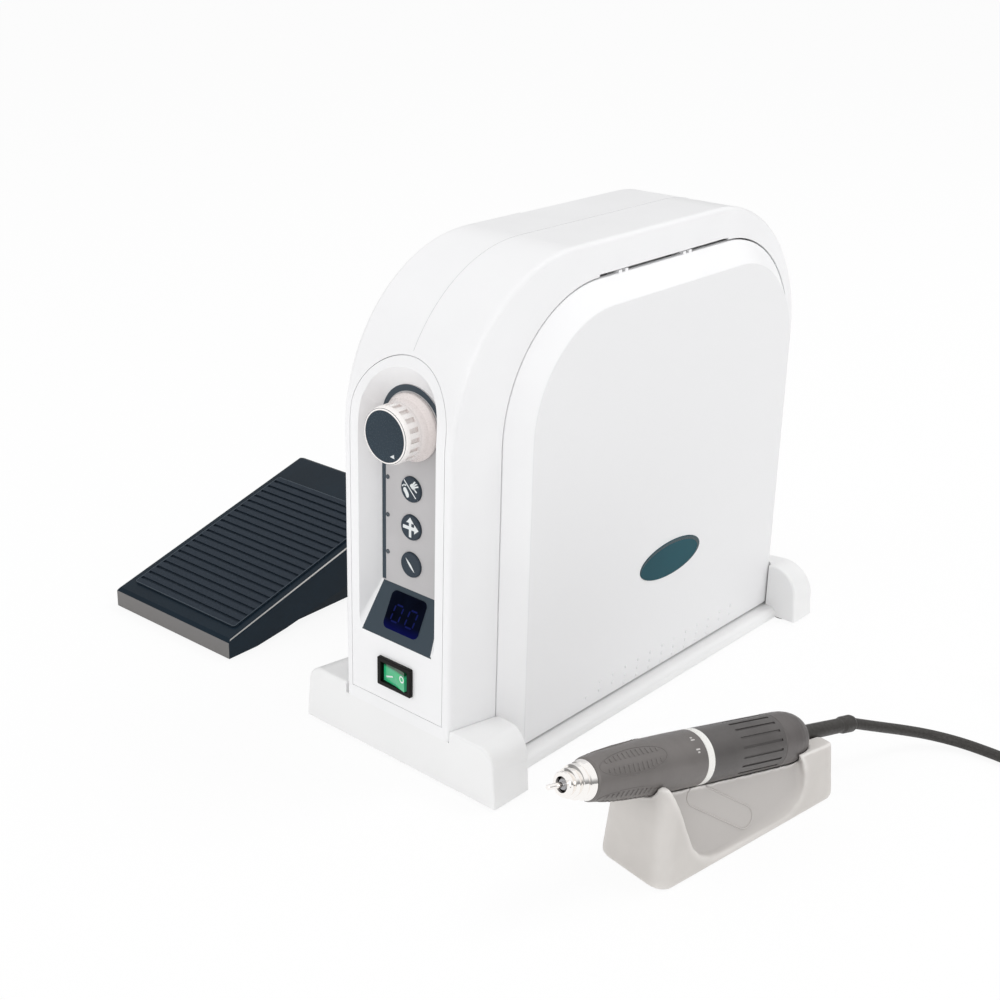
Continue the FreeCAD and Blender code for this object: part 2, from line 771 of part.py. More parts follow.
def base_stand():
    """Cross feet, the ledge between them and the tray that the casing stands on."""
    edge = rail_half - rail_round
    low = rail_top - rail_round
    ledge = prism("XZ", [
        (-rail_half, floor_clear), (rail_half, floor_clear),
        (rail_half, low, (rail_round, edge, low, 1)), (edge, rail_top),
        (-edge, rail_top, (rail_round, -edge, low, 1)), (-rail_half, low),
    ], ledge_front, ledge_rear)
    tray = box(-half_width, ledge_front, floor_clear, tray_right, ledge_rear, stand_top)
    inside = box(-half_width + wall, front_y + wall, floor_clear + wall, tray_right - wall,
                 rear_y - wall, stand_top + 1)
    tools = [inside]
    face = half_width + plate_proud + plate_gap
    tools.append(prism("XY", [
        (tray_right, plate_front - plate_gap), (half_width, plate_front - plate_gap),
        (face, plate_front + plate_bevel - plate_gap), (face, plate_rear - plate_bevel + plate_gap * 1.5),
        (half_width, plate_rear + plate_gap * 1.5), (tray_right, plate_rear + plate_gap * 1.5),
    ], rail_top, rear_foot_top + 1))
    for x, y in PADS:
        tools.append(disc("XY", x, y, pad_radius + 0.05, 0, floor_clear + pad_recess))
    solid = cut(fuse(ledge, tray, front_foot(), rear_foot()), *tools)
    posts = []
    for x, y in BOARD_POSTS:
        posts.append(disc("XY", x, y, 2.5, floor_clear + wall, power_z))
    posts.append(box(core_left, core_front, floor_clear + wall, core_right, core_rear, core_low))
    keep(fuse(solid, *posts), "base_stand")
    pads = []
    for x, y in PADS:
        pads.append(disc("XY", x, y, pad_radius, 0, floor_clear + pad_recess))
    keep(group(*pads), "rubber_feet")


# Front panel


def mouth_wire(at, half, low, spring, rise, corner):
    """Edge of the recess at one depth: flat foot with round corners, elliptic arch."""
    at, half, low, spring = float(at), float(half), float(low), float(spring)
    rise, corner = float(rise), float(corner)
    slant = corner * (1 - math.sqrt(0.5))
    foot_edges = [
        Part.LineSegment(Vector(-half + corner, at, low), Vector(half - corner, at, low)).toShape(),
        Part.Arc(Vector(half - corner, at, low), Vector(half - slant, at, low + slant),
                 Vector(half, at, low + corner)).toShape(),
        Part.LineSegment(Vector(half, at, low + corner), Vector(half, at, spring)).toShape(),
    ]
    steps = []
    for count in range(13):
        turn = math.pi * count / 12
        steps.append(Vector(half * math.cos(turn), at, spring + rise * math.sin(turn)))
    arch_curve = Part.BSplineCurve()
    arch_curve.interpolate(steps, InitialTangent=Vector(0, 0, rise), FinalTangent=Vector(0, 0, -rise))
    rest = [
        arch_curve.toShape(),
        Part.LineSegment(Vector(-half, at, spring), Vector(-half, at, low + corner)).toShape(),
        Part.Arc(Vector(-half, at, low + corner), Vector(-half + slant, at, low + slant),
                 Vector(-half + corner, at, low)).toShape(),
    ]
    return Part.Wire(foot_edges + rest)


BUTTONS = [("foot_hand_button", button_top_z), ("direction_button", button_top_z - button_pitch),
           ("run_button", button_top_z - button_pitch * 2)]
post_half = cell("post_half", 15.5, "control board's posts from the middle")
post_low = floor_low + 5.8
post_high = knob_z - 19.1
POSTS = [(-post_half, post_low), (post_half, post_low), (-post_half, post_high), (post_half, post_high)]
window_half = cell("window_half", 11.2, "half width of the display window")
window_low = cell("window_low", 5.2, "display window's lower edge along the slope")
window_high = cell("window_high", 23.8)
window_round = cell("window_round", 3.0)
window_thick = cell("window_thick", 1.6)
window_proud = cell("window_proud", 0.3)
slope_angle = math.degrees(math.atan2(float(floor_low - mouth_low), float(floor_depth)))


def on_slope(*solids):
    """Set solids drawn flat onto the sloping panel that holds the display."""
    whole = group(*solids)
    whole.Placement = Placement(Vector(0, float(front_y), float(mouth_low)),
                                Rotation(Vector(1, 0, 0), slope_angle))
    bind(whole, ".Placement.Base.y", front_y)
    bind(whole, ".Placement.Base.z", mouth_low)
    return whole


def rounded(left, low, right, high, radius):
    """A rectangle with round corners, as a list of points and bends."""
    return [
        (left + radius, low),
        (right - radius, low, (radius, right - radius, low + radius, 1)),
        (right, low + radius),
        (right, high - radius, (radius, right - radius, high - radius, 1)),
        (right - radius, high),
        (left + radius, high, (radius, left + radius, high - radius, 1)),
        (left, high - radius),
        (left, low + radius, (radius, left + radius, low + radius, 1)),
    ]


def window_shape(grow, low, high):
    half = window_half + grow
    points = rounded(-half, window_low - grow, half, window_high + grow, window_round + grow)
    return prism("XY", points, low, high)


def front_fascia():
    """Arched front panel with the recess that holds the knob, buttons and display."""
    face = prism("XZ", arch(fascia_half, fascia_low, fascia_arch), front_y - 2, panel_back_y)
    skin = prism("YZ", casing_profile(size(0), stand_top), -half_width, half_width)
    flange = prism("XZ", arch(fascia_half + 1.5, fascia_low - 1.5, fascia_arch),
                   front_y + wall, panel_back_y)
    inner = prism("YZ", casing_profile(wall, stand_top), -half_width, half_width)
    solid = fuse(common(face, skin), common(flange, inner))
    first = mouth_wire(front_y - 0.5, mouth_half, mouth_low - 1.07, mouth_arch, mouth_rise, 7)
    second = mouth_wire(floor_y, floor_half, floor_low, floor_arch, floor_half, 1.0)
    recess = doc.addObject("Part::Feature", "recess")
    recess.Shape = loft(first, second)
    tools = [recess]
    tools.append(disc("XZ", 0, knob_z, shaft_radius + 1.0, floor_y - 1, panel_back_y + 1))
    for name, z in BUTTONS:
        tools.append(disc("XZ", 0, z, button_radius + button_gap, floor_y - 1, floor_y + 1.5))
        tools.append(disc("XZ", 0, z, stem_radius + slide_fit, floor_y, panel_back_y + 1))
        tools.append(disc("XZ", lamp_x, z + lamp_raise, lamp_radius, floor_y - 1, panel_back_y + 1))
    tools.append(on_slope(window_shape(0.05, -window_thick, 1)))
    tools.append(on_slope(window_shape(-1.2, -14, 1)))
    tools.append(prism("XZ", rectangle(-switch_width / 2, switch_z - switch_height / 2,
                                       switch_width / 2, switch_z + switch_height / 2),
                       front_y - 1, panel_back_y + 1))
    tools.append(box(-fascia_half + 4, front_y + 2.5, fascia_low + 4, fascia_half - 4,
                     panel_back_y + 1, mouth_low - 4))
    posts = []
    holes = []
    for x, z in POSTS:
        posts.append(disc("XZ", x, z, 2.4, panel_back_y - 0.5, board_y))
        holes.append(disc("XZ", x, z, 0.9, panel_back_y, board_y + 1))
    solid = fuse(cut(solid, *tools), *posts)
    keep(cut(solid, *holes), "front_fascia")


def control_overlay():
    """Thin printed sheet on the recess floor, with its cut-outs."""
    sheet_face = prism("XZ", arch(floor_half - 0.4, floor_low + 0.5, floor_arch), overlay_y, floor_y)
    tools = [disc("XZ", 0, knob_z, shaft_radius + 1.0, overlay_y - 1, floor_y + 1)]
    for name, z in BUTTONS:
        tools.append(disc("XZ", 0, z, button_radius + button_gap, overlay_y - 1, floor_y + 1))
        tools.append(disc("XZ", lamp_x, z + lamp_raise, lamp_radius, overlay_y - 1, floor_y + 1))
    keep(cut(sheet_face, *tools), "control_overlay")


def display():
    pane = fuse(window_shape(-0.02, -window_thick, window_proud))
    keep(on_slope(pane), "display_window")
    block = box(-9, 6.6, -window_thick - 5.0, 9, 22.4, -window_thick - 0.05)
    pins = []
    for count in range(6):
        pins.append(box(-6.5 + 2.5 * count, 14.2, -window_thick - 8.5, -6.0 + 2.5 * count, 14.7,
                        -window_thick - 4.9))
    keep(on_slope(fuse(block, *pins)), "display_module")


def lamps():
    lenses = []
    for name, z in BUTTONS:
        lens = disc("XZ", lamp_x, z + lamp_raise, lamp_radius - 0.03, overlay_y - 0.3, panel_back_y + 0.4)
        lead = disc("XZ", lamp_x, z + lamp_raise, 0.4, panel_back_y, board_y)
        lenses.append(fuse(lens, lead))
    keep(group(*lenses), "indicator_lenses")


def push_buttons():
    """Round keys on stems, each over a tact switch; a flange keeps the key in."""
    switches = []
    for name, z in BUTTONS:
        face = overlay_y - button_proud
        cap = round_edges(disc("XZ", 0, z, button_radius, face, floor_y + 0.8), 0.6,
                          lambda middle, limits: limits.YMax < float(overlay_y) - 0.5)
        stem = disc("XZ", 0, z, stem_radius, floor_y, panel_back_y + 3.4)
        ring = disc("XZ", 0, z, stem_radius + 1.0, panel_back_y + 0.05, panel_back_y + 1.0)
        keep(fuse(cap, stem, ring), name)
        block = box(-3, board_y - 2.0, z - 3, 3, board_y, z + 3)
        plunger = disc("XZ", 0, z, 1.6, board_y - 2.35, board_y - 1.9)
        switches.append(fuse(block, plunger))
    keep(group(*switches), "tact_switches")


# Speed knob

knob_front = cell("knob_front", 7.3, "front of the knob beyond the casing face")
knob_base = cell("knob_base", 16.0, "radius at the knob's skirt")
knob_grip = cell("knob_grip", 13.6)
knob_ring = cell("knob_ring", 13.2, "radius of the light ring at the front")
cap_radius = cell("cap_radius", 12.0)
cap_thick = cell("cap_thick", 1.4)
grip_count = cell("grip_count", 18)
grip_width = cell("grip_width", 2.2)
grip_length = cell("grip_length", 5.5)
grip_depth = cell("grip_depth", 1.1)
shaft_radius = cell("shaft_radius", 3.0)
knob_high = overlay_y - 0.35 - front_y + knob_front


def knob_frame(thing):
    """Turn a part drawn along Z so that it points out of the recess at the knob."""
    thing.Placement = Placement(Vector(0, float(overlay_y) - 0.35, float(knob_z)),
                                Rotation(Vector(1, 0, 0), 90))
    bind(thing, ".Placement.Base.y", overlay_y - 0.35)
    bind(thing, ".Placement.Base.z", knob_z)
    return thing


def speed_knob():
    """Turned knob with grip recesses round its rim."""
    body = doc.addObject("PartDesign::Body", "knob_body")
    turned = body.newObject("PartDesign::Revolution", "knob_turned")
    high = knob_high
    profile = outline("XZ", 0, [
        (size(0), size(0)), (knob_base, size(0)), (knob_base, 1.2), (knob_grip + 0.9, 4.2),
        (knob_grip, 7.5), (knob_grip, high - 2.6), (knob_ring + 0.1, high - 1.0),
        (knob_ring - 0.6, high), (cap_radius + 0.05, high), (cap_radius + 0.05, high - cap_thick),
        (size(0), high - cap_thick),
    ], body)
    turned.Profile = profile
    turned.ReferenceAxis = (profile, ["V_Axis"])
    turned.Angle = 360
    doc.recompute()
    drill = body.newObject("PartDesign::Pocket", "knob_bore")
    drill.Profile = circle(new_sketch("XY", 0, body), 0, 0, shaft_radius)
    bind(drill, "Length", high - cap_thick - 1.5)
    drill.Reversed = True
    recess = body.newObject("PartDesign::Pocket", "knob_grip")
    half = grip_width / 2
    recess.Profile = outline("YZ", knob_grip - grip_depth,
                             rectangle(-half, high - 2.9 - grip_length, half, high - 2.9), body)
    bind(recess, "Length", grip_depth + 3)
    recess.Reversed = True
    ring = body.newObject("PartDesign::PolarPattern", "knob_grips")
    ring.Originals = [recess]
    for feature in body.Origin.OriginFeatures:
        if feature.Role == "Z_Axis":
            ring.Axis = (feature, [""])
    ring.Angle = 360
    bind(ring, "Occurrences", grip_count)
    body.Tip = ring
    doc.recompute()
    keep(knob_frame(body), "speed_knob")
    high = knob_high
    keep(knob_frame(fuse(disc("XY", 0, 0, cap_radius, high - cap_thick, high - 0.15))), "knob_cap")
    shaft_end = -(board_y - overlay_y + 0.35) + 1.0
    shaft = disc("XY", 0, 0, shaft_radius, shaft_end, high - cap_thick - 1.5)
    keep(knob_frame(fuse(shaft)), "pot_shaft")
    can = prism("XZ", rounded(-8, knob_z - 8, size(8), knob_z + 8, size(2)), panel_back_y + 0.4, board_y)
    lug = box(-2.2, board_y - 1, knob_z - 13, 2.2, board_y, knob_z - 7)
    well = disc("XZ", 0, knob_z, shaft_radius + 0.05, panel_back_y, board_y - 0.5)
    keep(cut(fuse(can, lug), well), "speed_pot")


# Power switch


def power_switch():
    """Rocker switch: bezel and body, the rocker on its pins, and two terminals."""
    wide = switch_width / 2
    tall = switch_height / 2
    frame = prism("XZ", rounded(-bezel_width / 2, switch_z - bezel_height / 2, bezel_width / 2,
                                switch_z + bezel_height / 2, size(0.8)),
                  front_y - bezel_thick, front_y)
    frame = round_edges(frame, 0.4, lambda middle, limits: limits.YMax < float(front_y) - 1.5)
    can = box(-wide + 0.1, front_y, switch_z - tall + 0.1, wide - 0.1, front_y + 18, switch_z + tall - 0.1)
    room_half = rocker_width / 2 + 1.0
    room = box(-room_half, front_y - 3, switch_z - rocker_height / 2 - 0.2, room_half,
               front_y + 7, switch_z + rocker_height / 2 + 0.2)
    bore = disc("XY", 0, front_y + 1.5, 0.96, switch_z - tall + 0.4, switch_z + tall - 0.4)
    keep(cut(fuse(frame, can), room, bore), "switch_housing")
    half = rocker_width / 2
    nose = front_y - 1.1
    low = switch_z - rocker_height / 2
    high = switch_z + rocker_height / 2
    key = prism("XY", [
        (size(0), front_y - 0.7), (-half, nose), (-half, front_y + 2), (size(-3), front_y + 4),
        (size(3), front_y + 4), (half, front_y + 2), (half, nose),
    ], low, high)
    pins = disc("XY", 0, front_y + 1.5, 0.9, low - 0.6, high + 0.6)
    rocker = fuse(key, pins)
    turn = Rotation(Vector(0, 0, 1), -float(rocker_tilt))
    pivot = Vector(0, float(front_y) + 1.5, 0)
    rocker.Placement = Placement(pivot - turn.multVec(pivot), turn)
    keep(rocker, "power_rocker")
    blades = []
    for x in (-5.0, 3.6):
        blades.append(box(x, front_y + 18, switch_z - 2.4, x + 0.8, front_y + 27, switch_z + 2.4))
    keep(group(*blades), "switch_terminals")


# Boards, transformer and rear panel


def inner_parts():
    """What the casing hides: boards, transformer, heat sink and the plate's switch."""
    half = post_half + 3
    board = prism("XZ", rectangle(-half, post_low - 5, half, knob_z + 20.9), board_y,
                  board_y + board_thick)
    holes = []
    for x, z in POSTS:
        holes.append(disc("XZ", x, z, 1.2, board_y - 1, board_y + board_thick + 1))
    keep(cut(board, *holes), "control_board")
    screws = []
    for x, z in POSTS:
        head = disc("XZ", x, z, 2.0, board_y + board_thick, board_y + board_thick + 1.4)
        screws.append(fuse(head, disc("XZ", x, z, 0.9, board_y - 4, board_y + board_thick)))
    for x, y in BOARD_POSTS:
        top = power_z + board_thick
        screws.append(disc("XY", x, y, 2.0, top, top + 1.4))
    keep(group(*screws), "board_screws")
    top = power_z + board_thick
    keep(box(board_left, board_front, power_z, board_right, board_rear, top), "power_board")
    near = board_front + 46
    fins = [box(board_left + 2, near, top, board_left + 14, near + 40, top + 3)]
    for count in range(4):
        left = board_left + 2 + 3.4 * count
        fins.append(box(left, near, top + 2.5, left + 1.8, near + 40, top + 26))
    keep(fuse(*fins), "heat_sink")
    core = box(core_left, core_front, core_low, core_right, core_rear, core_low + 40)
    slots = []
    for left, right in ((core_left + 7, core_left + 12), (core_right - 12, core_right - 7)):
        slots.append(box(left, core_front - 1, core_low + 8, right, core_rear + 1, core_low + 32))
    keep(cut(core, *slots), "transformer_core")
    coil = box(core_left + 7.2, core_front - 8, core_low + 8.2, core_right - 7.2, core_rear + 8,
               core_low + 31.8)
    middle_leg = box(core_left + 12, core_front, core_low + 7, core_right - 12, core_rear, core_low + 33)
    keep(cut(coil, middle_leg), "transformer_winding")
    z = plate_low + 24
    y = plate_rear - 22
    keep(box(pocket_back - wall - 8, y - 10, z, pocket_back - wall, y + 10, z + 10), "plate_switch")


fuse_share = cell("fuse_share", 0.4, "fuse holder, as a share of the rear opening's height")
socket_share = cell("socket_share", 0.62727, "handpiece socket, in the same way")
pedal_share = cell("pedal_share", 0.84545, "pedal socket, in the same way")
socket_bore = cell("socket_bore", 6.6, "bore of the handpiece's socket")


def rear_fittings():
    """Rear panel with the mains inlet, fuse holder and the two low-voltage sockets."""
    tall = rear_high - rear_low
    fuse_z = rear_low + tall * fuse_share
    socket_z = rear_low + tall * socket_share
    pedal_socket_z = rear_low + tall * pedal_share
    skin = rear_y - wall
    panel = prism("XZ", rectangle(-rear_half + seam_gap, rear_low + seam_gap, rear_half - seam_gap,
                                  rear_high - seam_gap), skin, rear_y)
    flange = prism("XZ", rectangle(-rear_half - 1.8, rear_low - 4, rear_half + 1.8, rear_high + 4),
                   skin - 2, skin)
    tools = [
        box(-12, skin - 3, rear_low + 10, 12, rear_y + 1, rear_low + 28),
        disc("XZ", 0, fuse_z, 6.2, skin - 3, rear_y + 1),
        disc("XZ", 0, socket_z, socket_bore + 1.5, skin - 3, rear_y + 1),
        disc("XZ", 0, pedal_socket_z, 4.6, skin - 3, rear_y + 1),
    ]
    keep(cut(fuse(panel, flange), *tools), "rear_panel")
    low = rear_low + 10
    shell = fuse(box(-12, skin - 18, low, 12, rear_y, low + 18),
                 box(-14, rear_y, low - 2, 14, rear_y + 1.6, low + 20))
    room = box(-10, rear_y - 14, low + 2, 10, rear_y + 2, low + 16)
    blades = [box(-7, rear_y - 15, low + 7.6, -5, rear_y - 4, low + 8.4 + 2),
              box(5, rear_y - 15, low + 7.6, 7, rear_y - 4, low + 8.4 + 2),
              box(-1, rear_y - 15, low + 3.6, 1, rear_y - 4, low + 6.0)]
    keep(fuse(cut(shell, room), *blades), "mains_inlet")
    cap = disc("XZ", 0, fuse_z, 7.4, rear_y, rear_y + 3.2)
    keep(cut(fuse(cap, disc("XZ", 0, fuse_z, 6.1, rear_y - 24, rear_y)),
             box(-5, rear_y + 2.2, fuse_z - 0.6, 5, rear_y + 4, fuse_z + 0.6)), "fuse_holder")
    ring = disc("XZ", 0, socket_z, socket_bore + 3, rear_y, rear_y + 1.8)
    barrel = disc("XZ", 0, socket_z, socket_bore + 1.4, rear_y - 16, rear_y)
    keep(cut(fuse(ring, barrel), disc("XZ", 0, socket_z, socket_bore, rear_y - 10, rear_y + 2)),
         "handpiece_socket")
    ring = disc("XZ", 0, pedal_socket_z, 5.8, rear_y, rear_y + 1.6)
    barrel = disc("XZ", 0, pedal_socket_z, 4.5, rear_y - 14, rear_y)
    keep(cut(fuse(ring, barrel), disc("XZ", 0, pedal_socket_z, 3.1, rear_y - 12, rear_y + 2)),
         "pedal_socket")


# Tubes for cords and springs


def bends(start, along, stop, onward):
    """Two arcs that leave along one direction and arrive along the other."""
    span = stop - start
    total = along + onward
    spread = 2 * (1 - along.dot(onward))
    if spread < 1e-6:
        if abs(span.dot(along) - span.Length) < 1e-4:
            return [Part.LineSegment(start, stop).toShape()]
        reach = span.dot(span) / (4 * span.dot(along))
    else:
        lean = span.dot(total)
        reach = (-lean + math.sqrt(lean * lean + spread * span.dot(span))) / spread
    middle = (start + along * reach + stop - onward * reach) * 0.5
    edges = []
    for first, corner, last in ((start, start + along * reach, middle),
                                (middle, stop - onward * reach, stop)):
        chord = (first + last) * 0.5
        height = corner - chord
        if height.Length < 1e-4:
            edges.append(Part.LineSegment(first, last).toShape())
            continue
        share = height.Length / (corner - first).Length
        cosine = math.sqrt(max(0.0, 1 - share * share))
        edges.append(Part.Arc(first, chord + height * (cosine / (1 + cosine)), last).toShape())
    return edges


def path(nodes):
    edges = []
    for index in range(len(nodes) - 1):
        start, along = nodes[index]
        stop, onward = nodes[index + 1]
        along = Vector(along).normalize()
        onward = Vector(onward).normalize()
        edges = edges + bends(start, along, stop, onward)
    return Part.Wire(edges)


def tube(nodes, radius):
    """A round wire or cord along a path of points and directions."""
    spine = path(nodes)
    start, along = nodes[0]
    section = Part.Wire([Part.Circle(start, Vector(along), float(radius)).toShape()])
    sweep = Part.BRepOffsetAPI.MakePipeShell(spine)
    sweep.add(section)
    sweep.build()
    sweep.makeSolid()
    return sweep.shape()


# Pedal

pedal_x = cell("pedal_x", -187.85, "middle of the foot pedal")
pedal_yaw = cell("pedal_yaw", 1.4)
pedal_half = cell("pedal_half", 48.65)
pedal_front = cell("pedal_front", -131.5)
pedal_rear = cell("pedal_rear", 20.0)
pedal_nose = cell("pedal_nose", 11.7, "height of the pedal's low end")
pedal_rise = cell("pedal_rise", 0.2708, "slope of the pedal's top")
pedal_wall = cell("pedal_wall", 3.0)
pedal_pin_y = cell("pedal_pin_y", -116.0)
pedal_pin_z = cell("pedal_pin_z", 6.6)
pedal_floor = cell("pedal_floor", 2.4, "underside of the pedal's base")
mat_start = cell("mat_start", 11.5, "first groove, along the slope")
mat_end = cell("mat_end", 127.5)
mat_margin = cell("mat_margin", 5.5)
mat_thick = cell("mat_thick", 2.2)
mat_sunk = cell("mat_sunk", 1.2)
rib_pitch = cell("rib_pitch", 5.8)
groove_width = cell("groove_width", 1.9)
groove_depth = cell("groove_depth", 1.0)
rib_count = cell("rib_count", 20)
inlet_z = cell("inlet_z", 8.0, "pedal's cord socket")
inlet_radius = cell("inlet_radius", 4.4)
slope = math.degrees(math.atan(float(pedal_rise)))
PEDAL_SPRINGS = [-26, 26]
PEDAL_PADS = [(-30, -116), (30, -116), (-36, 4), (36, 4)]
pedal_spring_y = cell("pedal_spring_y", -8.0)
pedal_spring_mean = cell("pedal_spring_mean", 6.0)
pedal_spring_wire = cell("pedal_spring_wire", 0.7)


def top_at(y):
    return pedal_nose + (size(y) - pedal_front) * pedal_rise


def turned(thing):
    """Turn a pedal piece a little on the floor, about the pedal's middle line."""
    thing.Placement = Placement(Vector(float(pedal_x), 0, 0),
                                Rotation(Vector(0, 0, 1), float(pedal_yaw)))
    bind(thing, ".Placement.Base.x", pedal_x)
    return thing


def treadle_side(inset):
    """Side view of the treadle; the inset gives its hollow."""
    inset = size(inset)
    drop = inset * 1.036
    rear = pedal_rear - inset
    return [
        (pedal_front + inset, 0.8 - inset),
        (-111, 0.8 - inset),
        (-88.7, 3.6 - inset),
        (18 - inset, 23.3 - inset),
        (rear, top_at(rear) - 5 - drop),
        (rear - 0.6, top_at(rear) - 2 - drop),
        (rear - 4, top_at(rear) - 1.0 - drop),
        (pedal_front + inset + 2, top_at(pedal_front + 2) - drop),
        (pedal_front + inset, pedal_nose - 1.4 - drop),
    ]


def on_ramp(*solids):
    """Set solids drawn flat onto the treadle's sloping top."""
    whole = group(*solids)
    whole.Placement = Placement(Vector(0, float(pedal_front), float(pedal_nose)),
                                Rotation(Vector(1, 0, 0), slope))
    bind(whole, ".Placement.Base.y", pedal_front)
    bind(whole, ".Placement.Base.z", pedal_nose)
    return whole


def pedal():
    """Foot pedal: a hinged hollow treadle with a ribbed mat over a flat base."""
    half = pedal_half
    block = prism("YZ", treadle_side(0), -half, half)
    block = round_edges(block, 1.6, lambda middle, limits: abs(abs(middle.x) - float(half)) < 0.01
                        and middle.z > 24 or (limits.XLength > 50 and limits.ZMin > 48))
    inner = half - pedal_wall
    room = prism("YZ", treadle_side(pedal_wall), -inner, inner)
    sill = prism("YZ", [(pedal_front + pedal_wall, -3), (pedal_rear - pedal_wall, -3),
                        (pedal_rear - pedal_wall, 30), (pedal_front + pedal_wall, 6)], -inner, inner)
    mat_half = half - mat_margin
    bed = rounded(-mat_half - 0.1, mat_start - 2.1, mat_half + 0.1, mat_end + 2.1, size(2.1))
    seat = on_ramp(prism("XY", bed, -mat_sunk, 6))
    bores = []
    stubs = []
    for side in (-1, 1):
        low, high = (-half + 1.4, -inner + 1) if side < 0 else (inner - 1, half - 1.4)
        bores.append(disc("YZ", pedal_pin_y, pedal_pin_z, 1.55, low, high))
        low, high = (-half + 1.5, -inner + 7) if side < 0 else (inner - 7, half - 1.5)
        stubs.append(disc("YZ", pedal_pin_y, pedal_pin_z, 1.5, low, high))
    rings = []
    for x in PEDAL_SPRINGS:
        top = top_at(pedal_spring_y) - pedal_wall
        rings.append(disc("XY", x, pedal_spring_y, 4.4, top - 5, top + 0.5))
    solid = fuse(cut(block, room, sill), *rings)
    keep(turned(fuse(cut(solid, seat, *bores))), "pedal_treadle")
    keep(turned(group(*stubs)), "pedal_hinge_pins")

    mat = doc.addObject("PartDesign::Body", "mat_body")
    slab = mat.newObject("PartDesign::Pad", "mat_slab")
    slab.Profile = outline("XY", -mat_sunk, rounded(-mat_half, mat_start - 2, mat_half, mat_end + 2,
                                                   size(2)), mat)
    bind(slab, "Length", mat_thick)
    doc.recompute()
    groove = mat.newObject("PartDesign::Pocket", "mat_groove")
    low = mat_start + (rib_pitch - groove_width) / 2
    groove.Profile = outline("XY", mat_thick - mat_sunk,
                             rectangle(-mat_half + 0.9, low, mat_half - 0.9, low + groove_width), mat)
    bind(groove, "Length", groove_depth)
    rows = mat.newObject("PartDesign::LinearPattern", "mat_grooves")
    rows.Originals = [groove]
    for feature in mat.Origin.OriginFeatures:
        if feature.Role == "Y_Axis":
            rows.Direction = (feature, [""])
    bind(rows, "Length", rib_pitch * (rib_count - 1))
    bind(rows, "Occurrences", rib_count)
    mat.Tip = rows
    doc.recompute()
    keep(turned(group(on_ramp(mat))), "tread_mat")

    wide = inner - 1.2
    side = prism("YZ", [
        (pedal_front + 5.0, pedal_floor), (pedal_rear - 7.5, pedal_floor), (pedal_rear - 7.5, 29),
        (-40, 21), (pedal_front + 5.0, 8.4)], -wide, wide)
    hollow = prism("YZ", [
        (pedal_front + 7.5, pedal_floor + 2.5), (pedal_rear - 10, pedal_floor + 2.5),
        (pedal_rear - 10, 40), (pedal_front + 7.5, 40)], -wide + 2.5, wide - 2.5)
    tools = [hollow]
    for x, y in PEDAL_PADS:
        tools.append(disc("XY", x, y, 6.05, 0, pedal_floor + 1))
    tools.append(disc("XZ", 0, inlet_z, inlet_radius, pedal_rear - 22, pedal_rear))
    studs = []
    for x, y in PEDAL_PADS:
        studs.append(disc("XY", x, y, 7.5, pedal_floor + 1, pedal_floor + 3))
    for hand in (-1, 1):
        low, high = (-wide, -inner + 7) if hand < 0 else (inner - 7, wide)
        studs.append(disc("YZ", pedal_pin_y, pedal_pin_z, 3.4, low, high))
    for x in PEDAL_SPRINGS:
        studs.append(disc("XY", x, pedal_spring_y, 4.4, pedal_floor + 2, pedal_floor + 8))
    holes = []
    for hand in (-1, 1):
        low, high = (-wide - 1, -inner + 8) if hand < 0 else (inner - 8, wide + 1)
        holes.append(disc("YZ", pedal_pin_y, pedal_pin_z, 1.5, low, high))
    keep(turned(cut(fuse(cut(side, *tools), *studs), *holes)), "pedal_base")
    pads = []
    for x, y in PEDAL_PADS:
        pads.append(disc("XY", x, y, 6, 0, pedal_floor + 1))
    keep(turned(group(*pads)), "pedal_feet")
    keep(turned(group(box(-22, -92, pedal_floor + 2.5, 22, -52, pedal_floor + 4.1),
                      box(-6, -80, pedal_floor + 4.1, 6, -64, pedal_floor + 9))), "pedal_board")
    barrel = disc("XZ", 0, inlet_z, inlet_radius, pedal_rear - 22, pedal_rear - 7.4)
    bore = disc("XZ", 0, inlet_z, inlet_radius - 1.0, pedal_rear - 20, pedal_rear)
    keep(turned(fuse(cut(barrel, bore))), "pedal_inlet")

    coils = []
    for x in PEDAL_SPRINGS:
        low = float(pedal_floor) + 2.5 + float(pedal_spring_wire) + 0.05
        high = float(top_at(pedal_spring_y) - pedal_wall) - float(pedal_spring_wire) - 1.3
        mean = float(pedal_spring_mean)
        nodes = []
        halves = 13
        for half_turn in range(halves):
            hand = 1 if half_turn % 2 == 0 else -1
            z = low + (high - low) * half_turn / (halves - 1)
            centre = Vector(x, float(pedal_spring_y), z)
            nodes.append((centre + Vector(hand * mean, 0, 0), Vector(0, hand, 0)))
        coils.append(tube(nodes, pedal_spring_wire))
    yaw = Placement(Vector(float(pedal_x), 0, 0), Rotation(Vector(0, 0, 1), float(pedal_yaw)))
    plain("pedal_springs", Part.Compound(coils), yaw)


# Handpiece

hand_x = cell("hand_x", 139.3, "middle of the handpiece's light ring")
hand_y = cell("hand_y", -100.0)
hand_z = cell("hand_z", 44.3)
hand_radius = cell("hand_radius", 12.3)
grip_start = cell("grip_start", -64.1, "front end of the twisting grip, from the ring")
ring_half = cell("ring_half", 2.0)
housing_end = cell("housing_end", 50.0)
cap_end = cell("cap_end", 72.0)
dome_core = cell("dome_core", 5.2, "radius where the round tail ends")
dome_long = cell("dome_long", 14.0)
relief_end = cell("relief_end", 113.0)
nose_end = cell("nose_end", -76.7)
bur_end = cell("bur_end", -84.5)
bur_radius = cell("bur_radius", 1.175)
spindle_radius = cell("spindle_radius", 3.0)
tube_radius = cell("tube_radius", 6.5)
tube_bore = cell("tube_bore", 4.2)
housing_bore = cell("housing_bore", 10.2)
flute_count = cell("flute_count", 18)
flute_start = cell("flute_start", 21)
